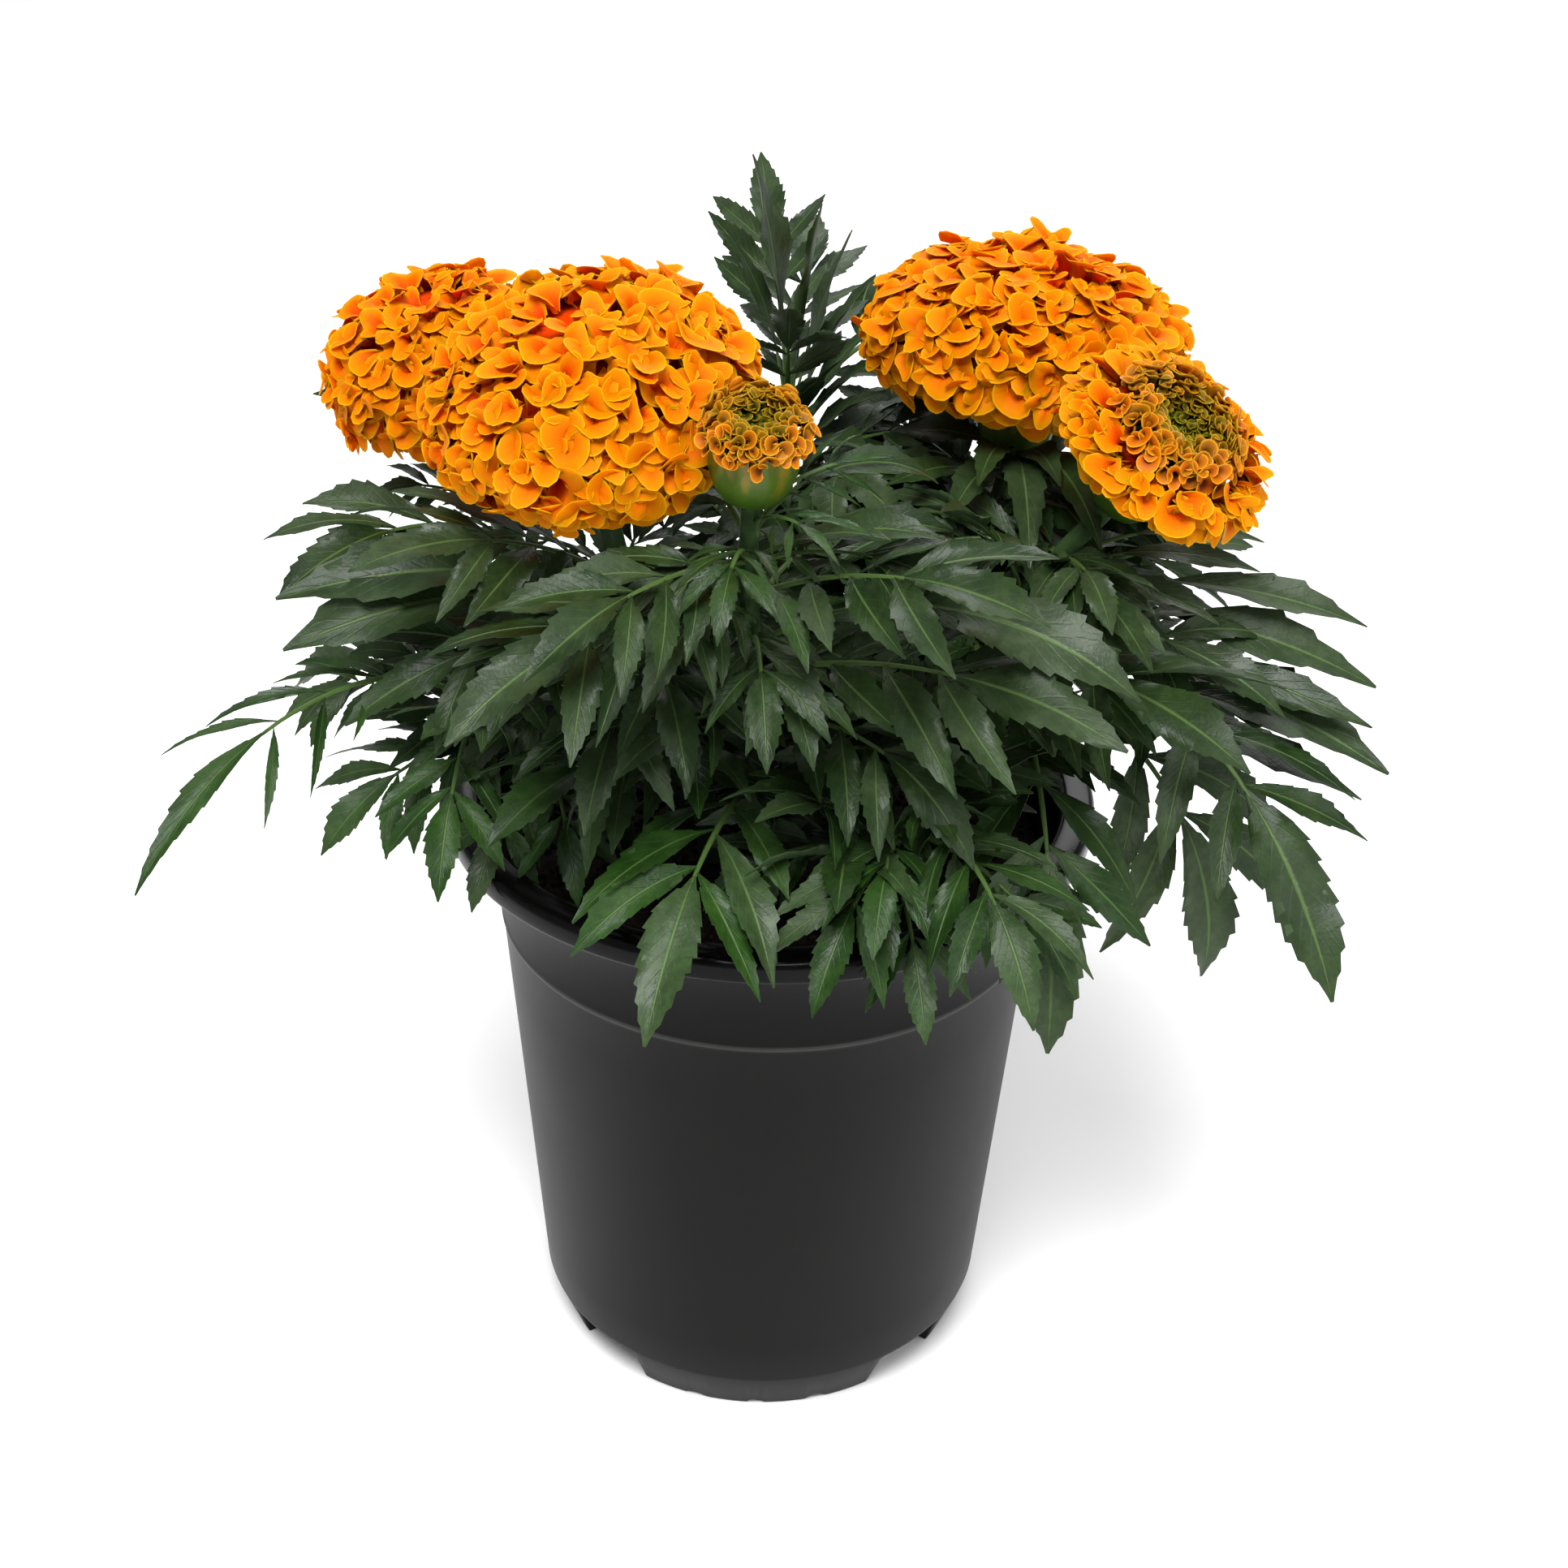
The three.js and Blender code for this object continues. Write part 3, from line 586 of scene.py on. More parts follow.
heads = {
    "left_bloom": headPlan((-42, -33, 276), 38, 27, 20, (-0.13, -0.2, 1)),
    "right_bloom": headPlan((60, 26, 272), 39.5, 23, 20, (0.08, 0.05, 1)),
    "rear_bloom": headPlan((-82, 24, 262), 29, 23, 19, (-0.25, -0.05, 1)),
    "young_bloom": headPlan((87, -34, 272), 23, 9, 13, (0.5, -0.5, 1)),
    "opening_bud": headPlan((-4, -66, 286), 12.5, 8, 6, (0.05, -0.34, 1)),
}
headRules = {
    "coreShare": 0.7,
    "calyxHeight": 16,
    "seatGap": 0.3,
    "petalSunk": 0.8,  # how much of a petal's length lies inside the solid's surface
    "uneven": 2.6,  # how far petals stand in and out of line
    "lumpSize": 0.55,  # soft lumps of a full head, as shares of its radius
    "lumpDepth": 0.055,
}
stems = {
    "left_bloom": {"foot": (-14, -12), "radius": 3.2},
    "right_bloom": {"foot": (15, 10), "radius": 3.2},
    "young_bloom": {"foot": (19, -12), "radius": 2.8},
    "opening_bud": {"foot": (-1, -26), "radius": 2.6},
    "rear_bloom": {"foot": (-19, 10), "radius": 3.0},
    "rear_shoot": {"foot": (0, 26), "top": (2, 50, 252), "aim": (0, 0.1, 1), "radius": 2.6},
    "left_shoot": {"foot": (-33, -8), "top": (-78, -16, 196), "aim": (-0.8, -0.1, 0.7), "radius": 2.4},
    "right_shoot": {"foot": (36, 2), "top": (76, -4, 204), "aim": (0.8, -0.1, 0.7), "radius": 2.4},
    "front_shoot": {"foot": (18, -38), "top": (36, -54, 184), "aim": (0.5, -0.5, 0.7), "radius": 2.2},
}


# The head's centre, the way it faces and two directions across it.
def headFrame(head):
    axis = unit(np.array(head["aim"], float))
    first = unit(np.array([1.0, 0, 0]) - axis * axis[0])
    return np.array(head["centre"], float), axis, first, np.cross(axis, first)


# How far below the head's centre its core ends.
def seatDepth(head):
    return head["down"] * headRules["coreShare"]


# The stem's four Bezier points: it starts upright and arrives along its head's aim.
def stemPoints(name):
    stem, head = stems[name], heads.get(name)
    foot = np.array([*stem["foot"], soilShape["top"] - soilShape["stemDepth"]], float)
    if head:
        centre, aim = headFrame(head)[:2]
        top = centre - aim * (seatDepth(head) + headRules["seatGap"] + headRules["calyxHeight"])
    else:
        top, aim = np.array(stem["top"], float), unit(np.array(stem["aim"], float))
    span = np.linalg.norm(top - foot)
    return np.array([foot, foot + [0, 0, span * 0.42], top - aim * span * 0.3, top])


# Points and directions of a cubic Bezier curve at shares t.
def alongStem(four, t):
    t = np.asarray(t, float)[..., None]
    a, b, c, d = four
    point = a * (1 - t) ** 3 + 3 * b * t * (1 - t) ** 2 + 3 * c * t**2 * (1 - t) + d * t**3
    way = (b - a) * (1 - t) ** 2 + 2 * (c - b) * t * (1 - t) + (d - c) * t**2
    return point, unit(way)


stemShape = {"rings": 26, "around": 20, "taper": 0.2, "ribs": 7, "ribDepth": 0.05, "wind": 3}


# A tube along the stem: radius falls by the taper, with soft ribs that wind a little round it.
# A stem without a head narrows at its very end.
def stemTube(name):
    look = stemShape
    share = np.linspace(0, 1, look["rings"])
    point, way = alongStem(stemPoints(name), share)
    side = unit(np.array([1.0, 0, 0]) - way * way[:, :1])
    other = np.cross(way, side)
    turn = circle(look["around"])
    ribs = 1 + look["ribDepth"] * np.cos(look["ribs"] * turn + look["wind"] * share[:, None])
    wide = stems[name]["radius"] * (1 - look["taper"] * share)[:, None] * ribs
    if name not in heads:
        wide = wide * np.where(share > 0.99, 0.5, 1)[:, None]
    points = point[:, None] + spokes(side[:, None], other[:, None], turn) * wide[..., None]
    return tubeParts(points[None], (share[None, :, None], turn / (2 * math.pi), 0.5), 0)


# The calyx is a cup turned about the head's aim: a bulging wall that ends in pointed lobes
# and comes back down inside.
calyxShape = {"lobes": 10, "lobeHeight": 2.2, "around": 60}


def calyxCup(name):
    head = heads[name]
    centre, axis, first, second = headFrame(head)
    tall = headRules["calyxHeight"]
    foot = centre - axis * (seatDepth(head) + headRules["seatGap"] + tall)
    thin = stems[name]["radius"] * 0.8
    profile = [(thin, -1.5), (thin + 0.4, 0), (5.6, 1.0), (7.6, 2.7), (8.8, 5.2), (9.4, 8.2)]
    profile += [(9.3, 11.2), (8.8, 14.0), (8.4, 15.6), (8.3, 16.2)]
    profile += [(7.9, 16.0), (7.6, 14.0), (5.0, 12.5)]
    radius, height = (np.array(c)[:, None] for c in zip(*profile))
    turn = circle(calyxShape["around"])
    lobe = np.abs(np.cos(calyxShape["lobes"] / 2 * turn)) ** 0.8
    high = ease(height, 13.0, 16.2) * (lobe - 0.6) * calyxShape["lobeHeight"]
    swell = 1 + 0.025 * np.cos(calyxShape["lobes"] * turn) * ease(height, 2, 8)
    points = foot + spokes(first, second, turn) * (radius * swell)[..., None]
    points = points + axis * (height + high)[..., None]
    share = np.clip(height / tall, 0, 1)
    return tubeParts(points[None], (share[None], turn / (2 * math.pi), 0.5), 0)


# at is the share along the stem; turn is the compass direction from +X towards +Y; rise is
# the slope where it starts and droop how far it has bent down by its tip, in degrees.
# leaflet is the longest side leaflet's share of the length. young is how bright green it is.
# A small leaf has fewer points across its blades.
usualLeaf = {"pairs": 3, "leaflet": 0.42, "width": 1.0, "young": 0.0, "teeth": 9, "small": False}


def leaf(at, turn, rise, droop, length, **more):
    one = {"at": at, "turn": turn, "rise": rise, "droop": droop, "length": length}
    return {**usualLeaf, **one, **more}


# A single blade that leaves its stem at `rise` and ends at a tip given as a point. Its blade
# begins at the share `start` of its length.
def tipLeaf(at, tip, rise, width=1.0, start=0.3, teeth=6, **more):
    one = {"at": at, "tip": tip, "rise": rise, "width": width, "start": start, "teeth": teeth}
    return {**usualLeaf, "pairs": 0, **one, **more}


# Turn, droop and length of a leaf whose tip is given: the arc's whole bend is twice the angle
# between its start and its chord.
def toTip(root, one):
    if "tip" not in one:
        return one
    way = np.array(one["tip"], float) - root
    level, chord = math.hypot(way[0], way[1]), float(np.linalg.norm(way))
    half = math.radians(one["rise"]) - math.atan2(way[2], level)
    length = chord * half / math.sin(half) if abs(half) > 1e-3 else chord
    turn = math.degrees(math.atan2(way[1], way[0]))
    return {**one, "turn": turn, "droop": 2 * math.degrees(half), "length": length}


leaves = {
    "left_bloom": [
        leaf(0.8, 220, 45, 50, 80), leaf(0.28, 230, 50, 80, 78, young=0.5),
        leaf(0.55, 205, 15, 70, 60, pairs=2),
    ],
    "right_bloom": [
        leaf(0.82, 285, 60, 80, 50, pairs=2), leaf(0.65, 20, 30, 60, 78, pairs=2),
        leaf(0.5, 75, 35, 75, 84, pairs=2),
    ],
    "young_bloom": [
        leaf(0.5, 310, 35, 50, 100), leaf(0.8, 280, 40, 60, 55, pairs=2),
        leaf(0.72, 240, 60, 40, 60, pairs=2), leaf(0.62, 35, 20, 40, 90),
    ],
    "opening_bud": [
        leaf(0.3, 255, 25, 70, 96, young=0.7), leaf(0.42, 315, 40, 90, 78),
        leaf(0.55, 325, 31, 45, 100), leaf(0.75, 320, 35, 40, 84), leaf(0.7, 225, 30, 60, 90),
        leaf(0.84, 232, 20, 40, 72),
    ],
    "rear_bloom": [
        leaf(0.8, 230, 40, 60, 80), leaf(0.55, 220, 55, 80, 84, pairs=2),
        leaf(0.9, 145, 50, 30, 62, pairs=2), leaf(0.75, 65, 60, 20, 84),
        leaf(0.35, 130, 40, 75, 84, pairs=2), leaf(0.3, 180, 50, 90, 72, pairs=2),
    ],
    "rear_shoot": [
        leaf(1.0, 100, 45, 10, 66), leaf(0.93, 85, 35, 25, 76),
        leaf(0.85, 270, 70, 35, 62, pairs=2), leaf(0.66, 315, 60, 60, 62, pairs=2),
        leaf(0.9, 45, 35, 50, 78, pairs=2), leaf(0.55, 125, 35, 70, 84, pairs=2),
        leaf(0.4, 60, 40, 80, 80, pairs=2), leaf(0.25, 100, 50, 95, 70, pairs=2),
    ],
    "left_shoot": [
        leaf(1.0, 235, 35, 80, 110, leaflet=0.28, width=0.42, young=0.5),
        leaf(0.6, 250, 5, 60, 52, pairs=2, young=0.6), leaf(0.8, 150, 25, 70, 74, pairs=2),
        leaf(0.95, 180, 20, 60, 48, pairs=2, young=0.5),
    ],
    "right_shoot": [
        leaf(0.7, 275, 25, 115, 112, leaflet=0.36, young=0.3),
        leaf(1.0, 300, 15, 75, 118, leaflet=0.31), leaf(0.9, 5, 10, 40, 66),
        leaf(0.8, 310, 15, 110, 100, pairs=2), leaf(0.5, 70, 25, 70, 76, pairs=2),
    ],
    "front_shoot": [
        leaf(1.0, 290, 25, 75, 72, young=0.4), leaf(0.8, 262, 40, 80, 56, pairs=2, young=0.6),
        leaf(0.6, 205, 40, 90, 50, pairs=2, young=0.6),
    ],
}

leafRules = {
    "angle": 44,  # degrees between the rib and a side leaflet
    "faceRoll": 28,  # how far a leaf at the side turns its face to the front
    "thickness": 0.45,
    "toothOut": 0.095,  # how far a tooth's tip stands out, as a share of half the width
    "toothIn": 0.06,
    "twist": 40,  # the most that a leaflet twists along its length, in degrees
    "tilt": 22,  # and the most that it is rolled where it starts
    "pairStep": 0.13,  # places of the pairs and of the end leaflet, as shares of the length
    "lastPair": 0.53,
    "endStart": 0.56,
    "extraPair": 0.62,  # size of the small pair nearest the stem
    "ribRadius": 0.75,
    "sideWidth": 0.12,  # half a side leaflet's width, as a share of its length
    "endWidth": 0.064,  # half the end leaflet's width, as a share of the leaf's length
    "fold": 0.36,  # rise of the edges over the midrib, as a share of half the width
    "across": (-1.0, -0.5, 0.0, 0.5, 1.0),
    "acrossSmall": (-1.0, 0.0, 1.0),
}


# Bends a flat leaf as the solids do: its rib leaves the root at `rise` and droops along an
# arc of a circle, and its sides arch down like an umbrella's. s runs along the rib, v across it
# and w up from it.
def bentLeaf(root, one, s, v, w):
    length = one["length"]
    turn = math.radians(one["turn"])
    heading = np.array([math.cos(turn), math.sin(turn), 0])
    level = np.array([-heading[1], heading[0], 0])
    bend = math.radians(one["droop"] or 0.1) / length
    arch = 1 / length
    roll = math.radians(leafRules["faceRoll"] * math.cos(turn))
    pitch = math.radians(one["rise"])
    now = (pitch - bend * s)[..., None]
    run = (math.sin(pitch) - np.sin(now)) / bend
    climb = (np.cos(now) - math.cos(pitch)) / bend
    up = heading * -np.sin(now) + np.array([0, 0, 1.0]) * np.cos(now)
    across, over = turnedPair(level, up, roll)
    out = (np.sin(arch * v) / arch + w * np.sin(arch * v))[..., None]
    down = ((1 - np.cos(arch * v)) / arch - w * np.cos(arch * v))[..., None]
    return root + heading * run + np.array([0, 0, 1.0]) * climb + across * out - over * down


# Many leaflets of one leaf. Rows alternate between the notch and the tip of a forward saw
# tooth. Half the width follows a power of a sine of the share along; the blade is folded up
# from its midrib, rippled at its edge, twisted a little and drooping at its tip.
def leafletBlades(root, one, base, side, angle, length, half, seed, teeth):
    count = len(base)
    tooth = np.arange(teeth)
    t = np.sort(np.concatenate([tooth / teeth, (tooth + 0.7) / teeth, [1.0]]))
    isTip = np.zeros(len(t))
    isTip[1::2] = 1
    isTip[-1] = 0
    envelope = np.sin(math.pi * t**0.92) ** 0.9 * (1.08 - 0.16 * t)
    a = np.array(leafRules["acrossSmall" if one["small"] else "across"])[None, None, :]
    t, isTip, envelope = (x[None, :, None] for x in (t, isTip, envelope))
    pick = lambda n: draw(seed + n + 7.3 * np.arange(count))[:, None, None]
    out = np.abs(a)
    edge = 1 + out**4 * np.where(isTip > 0, leafRules["toothOut"], -leafRules["toothIn"])
    wide = half[:, None, None] * np.maximum(envelope, 0.06) * edge
    ahead = t + out**1.5 * (0.02 + 0.05 * isTip) * (1 - t) * (t > 0)
    long = length[:, None, None]
    turned = 1.0 if count > 1 else 0.35  # a blade on its own is twisted less
    twist = turned * (swing(leafRules["twist"], pick(1)) * t + swing(leafRules["tilt"], pick(2)))
    lift = leafRules["fold"] * (0.4 + pick(3)) * out * wide
    lift = lift + 0.22 * wide * out**2 * np.sin(9.4 * t + 6.3 * pick(4) + 1.3 * a)
    lift = lift + 0.012 * wide * out * (1 - out) * 4 * np.sin(2 * math.pi * (teeth * t - 0.8 * out))
    lift = lift + turned * long * (t * (0.12 * pick(6) - 0.03) - t**2 * (0.02 + 0.2 * pick(5)))
    x = a * wide * np.cos(twist)
    lift = lift + a * wide * np.sin(twist)
    bow = side[:, None, None] * long * 0.16 * (0.1 + pick(7)) * t**2
    x = x - bow
    thick = leafRules["thickness"] * (1 - 0.6 * out**2) * (1 - 0.5 * t) / 2
    aim = angle[:, None, None]
    s = base[:, None, None] + ahead * long * np.cos(aim) - x * np.sin(aim)
    v = side[:, None, None] * 0.4 + ahead * long * np.sin(aim) + x * np.cos(aim)
    w = thereAndBack(lift + thick, lift - thick)
    points = bentLeaf(root, one, thereAndBack(s), thereAndBack(v), w)
    kind = one["young"] + thereAndBack(0 * out, 2 + 0 * out)
    return tubeParts(points, (t, thereAndBack(a), pick(8)), kind)


# The rib of a leaf: a slim tube, flattened, that tapers to where the end leaflet starts.
def leafRib(root, one, reach):
    share = np.linspace(0, 1, 12)[:, None]
    turn = circle(6)[None, :]
    size = leafRules["ribRadius"] * (1.25 - 0.75 * share) * (0.55 + 0.45 * min(one["length"] / 90, 1))
    s = share * reach + 0 * turn
    points = bentLeaf(root, one, s, 1.25 * size * np.cos(turn), 0.8 * size * np.sin(turn))
    return tubeParts(points[None], (0.5, 0.0, 0.5), one["young"])


# The leaflet or blade at a leaf's end, from a start along its rib to its tip, and the rib.
def endParts(root, one, start, half, teeth, seed):
    ends = [np.array([x]) for x in (start, 0.0, 0.0, one["length"] - start, half)]
    return [leafletBlades(root, one, *ends, seed + 90, teeth), leafRib(root, one, start + 2)]


# A whole leaf: its side leaflets in pairs, its end leaflet and its rib. One without pairs is a
# single blade from its start share to its tip.
def leafParts(root, one, seed):
    length, pairs, teeth = one["length"], one["pairs"], one["teeth"]
    sideWidth = one["width"] * leafRules["sideWidth"]
    if not pairs:
        start = length * one["start"]
        return endParts(root, one, start, sideWidth * (length - start), teeth, seed)
    i = np.arange(-1, pairs)  # one more small pair nearer the stem than the solids have
    first = 0.5 - leafRules["pairStep"] * (pairs - 1)
    share = first + i * (leafRules["lastPair"] - first) / (pairs - 1)
    size = length * (one["leaflet"] - 0.05 * np.abs(i - (pairs - 1) * 0.6))
    size = size * np.where(i < 0, leafRules["extraPair"], 1)
    two = np.arange(2 * len(i))
    size = np.repeat(size, 2) * (0.92 + 0.16 * draw(seed + two))
    base = np.repeat(length * share, 2) + np.tile([0, length * 0.018], len(i))
    side = np.tile([-1.0, 1.0], len(i))
    angle = side * np.radians(leafRules["angle"] - 5 + 10 * draw(seed + 40 + two))
    sides = leafletBlades(root, one, base, side, angle, size, sideWidth * size, seed, teeth)
    endHalf = one["width"] * length * leafRules["endWidth"]
    return [sides] + endParts(root, one, length * leafRules["endStart"], endHalf, teeth + 1, seed)


# Smaller leaves between the large ones, a golden angle apart up each stem.
fillLook = {"count": 11, "at": (0.2, 0.93), "length": (52, 78), "reach": 112, "teeth": 6}


# A leaf with long and mostly wide side leaflets.
def broadLeaf(at, turn, rise, droop, length, width=1.1):
    return leaf(at, turn, rise, droop, length, leaflet=0.5, width=width)


# Leaves placed where the photograph shows them, besides those that the solids have.
topLeaves = {
    "rear_shoot": [
        tipLeaf(0.88, (-7, 47, 309), 88, 1.3, 0.4, teeth=7),
        tipLeaf(0.87, (-13, 46, 291), 87, 0.8, 0.4, teeth=5), tipLeaf(0.87, (8, 45, 298), 82, 0.95),
        tipLeaf(0.86, (16, 44, 292), 79, 0.9), tipLeaf(0.84, (21, 42, 282), 75, 0.9),
        tipLeaf(0.82, (23, 40, 272), 71, 0.9), tipLeaf(0.8, (24, 38, 263), 66, 0.95),
        tipLeaf(0.78, (26, 34, 255), 60), tipLeaf(0.78, (14, 26, 266), 74),
        tipLeaf(0.8, (8, 18, 256), 66, 1.3, 0.25), tipLeaf(0.76, (22, 16, 246), 56, 1.4, 0.25),
        broadLeaf(0.74, 335, 52, 60, 64, 1.2), broadLeaf(0.7, 300, 52, 70, 62, 1.2),
        broadLeaf(0.66, 255, 50, 70, 60), leaf(0.8, 160, 50, 50, 66, pairs=2),
        broadLeaf(0.7, 20, 45, 70, 70, 1), broadLeaf(0.62, 320, 45, 70, 74, 1),
        broadLeaf(0.56, 350, 45, 70, 74, 1),
    ],
    "opening_bud": [
        leaf(0.93, 300, 40, 60, 40, pairs=2, width=0.5, young=0.6),
        leaf(0.96, 20, 40, 50, 36, pairs=2, width=0.35, young=0.6),
        tipLeaf(0.9, (37, -40, 263), 58, 0.8), tipLeaf(0.84, (40, -44, 252), 30, 1, 0.35),
        tipLeaf(0.8, (36, -66, 262), 50), tipLeaf(0.78, (24, -72, 264), 60, 1.1),
        tipLeaf(0.8, (8, -88, 240), 30, 1, 0.4, young=0.4),
        tipLeaf(0.8, (-16, -84, 244), 40, 0.8, young=0.5), tipLeaf(0.86, (-26, -84, 236), 30, 0.8),
        tipLeaf(0.86, (-36, -78, 240), 20, 0.8), leaf(0.84, 262, 50, 100, 46, width=0.9, young=0.3),
        tipLeaf(0.62, (79, -82, 232), 44, 1.2, 0.42, teeth=12),
        leaf(0.7, 245, 45, 90, 56, width=0.9), leaf(0.64, 275, 40, 90, 58),
        leaf(0.6, 190, 35, 60, 70),
    ],
    "right_bloom": [
        tipLeaf(0.97, (74, -32, 243), 44, 0.8, 0.2, teeth=8),
        tipLeaf(0.96, (58, -36, 242), 46, 0.75, 0.2, teeth=9),
        tipLeaf(0.95, (40, -24, 247), 36, 0.9, 0.2, teeth=8),
        tipLeaf(0.94, (26, -6, 247), 34, 0.9, 0.2, teeth=7),
        tipLeaf(0.96, (65, -20, 254), 50, 0.8, 0.2, teeth=7),
        tipLeaf(0.96, (46, -22, 254), 52, 0.8, 0.2, teeth=8),
        tipLeaf(0.94, (84, -16, 244), 38, 1, 0.2), tipLeaf(0.94, (76, -24, 238), 25, 1, 0.2),
        tipLeaf(0.9, (60, -34, 236), 20, 1.1, 0.25), tipLeaf(0.88, (44, -32, 236), 20, 1.1, 0.25),
        tipLeaf(0.86, (78, -30, 234), 20, 1.1, 0.25), broadLeaf(0.88, 235, 20, 50, 62),
        broadLeaf(0.86, 285, 15, 50, 60), broadLeaf(0.84, 200, 20, 50, 62),
        broadLeaf(0.78, 260, 15, 50, 64), broadLeaf(0.76, 325, 15, 50, 60),
        broadLeaf(0.9, 25, 25, 20, 56), broadLeaf(0.9, 80, 25, 20, 58),
        broadLeaf(0.88, 135, 25, 20, 60), broadLeaf(0.86, 350, 25, 30, 58),
        leaf(0.68, 235, 25, 60, 70), leaf(0.66, 290, 25, 60, 70),
    ],
    "left_bloom": [
        leaf(0.86, 330, 10, 50, 60), leaf(0.84, 240, 10, 60, 60), leaf(0.76, 285, 15, 60, 66),
        leaf(0.7, 205, 15, 50, 76), leaf(0.62, 260, 20, 60, 70),
        tipLeaf(0.8, (-112, -44, 232), 20, 1.1, 0.35),
        tipLeaf(0.76, (-110, -50, 222), 20, 1.1, 0.35),
    ],
    "young_bloom": [
        tipLeaf(0.8, (116, -6, 234), 28, 0.95, 0.4), tipLeaf(0.76, (112, -26, 236), 34, 0.85, 0.4),
        tipLeaf(0.72, (100, -46, 232), 36, 0.8, 0.4), tipLeaf(0.74, (137, -34, 228), 16, 0.9, 0.42),
        tipLeaf(0.7, (140, -40, 216), 10, 0.95, 0.42), tipLeaf(0.66, (137, -50, 209), 4, 0.7, 0.46),
        tipLeaf(0.84, (62, -48, 250), 10, 0.9), tipLeaf(0.84, (66, -62, 240), 20, 0.8, 0.4),
        tipLeaf(0.8, (82, -72, 234), 20, 0.8, 0.4), broadLeaf(0.84, 180, 20, 50, 46, 1),
        leaf(0.66, 330, 20, 50, 76), leaf(0.58, 270, 30, 60, 70),
    ],
    "right_shoot": [
        tipLeaf(0.96, (141, -56, 203), 14, 1.1), tipLeaf(0.9, (135, -58, 195), 2, 0.8, 0.35),
    ],
    "front_shoot": [
        leaf(0.92, 245, 15, 70, 62, young=0.5), leaf(0.86, 320, 10, 70, 60, young=0.3),
        leaf(0.7, 280, 5, 60, 56, young=0.7),
    ],
    "left_shoot": [
        leaf(0.88, 265, 5, 60, 60, young=0.6), leaf(0.74, 215, 10, 60, 60, young=0.9),
        leaf(0.62, 285, 5, 60, 50, young=0.9),
    ],
}


# The smaller leaves of one stem: draws choose rise, droop, length and color, and none is long
# enough to reach out past a circle of the radius `reach`.
def fillLeaves(number, name):
    look = fillLook
    four = stemPoints(name)
    made = []
    for k in range(look["count"]):
        at = between(look["at"], (k + 0.5) / look["count"])
        turn = math.degrees(k * goldenAngle) + 61 * number
        pick = draw(50 * number + k + np.array([0.1, 0.3, 0.5, 0.7]))
        root = alongStem(four, at)[0]
        heading = (math.cos(math.radians(turn)), math.sin(math.radians(turn)))
        room = look["reach"] - root[0] * heading[0] - root[1] * heading[1]
        length = min(between(look["length"], float(pick[0])), room) * (1.0 if at < 0.6 else 0.82)
        high = ease(root[2], 170, 235)
        one = leaf(
            at, turn, 52 - 32 * high + 16 * pick[1], 45 + 40 * pick[2], length,
            pairs=2, young=0.55 * float(pick[3]) * (1 - high), teeth=look["teeth"], small=True,
        )
        made.append(one)
    return made


print("leaves and stems")
for number, name in enumerate(stems):
    four = stemPoints(name)
    blades = []
    for k, one in enumerate(leaves[name] + topLeaves.get(name, []) + fillLeaves(number, name)):
        root = alongStem(four, one["at"])[0]
        blades += leafParts(root, toTip(root, one), 100 * number + 10 * k)
    node = f"{name}_stem_and_leaves"
    makePiece(f"{name}_leaves", joinParts(blades), leafSkin, [node])
    makePiece(f"{name}_stem", stemTube(name), stemSkin, [node])
    if name in heads:
        makePiece(f"{name}_calyx", calyxCup(name), calyxSkin, [node])

# along holds the shares of a petal's length at which its rings stand.
petalRules = {"along": (0.3, 0.76, 1.0), "columns": 17, "thickness": 0.32, "rootReach": 165}


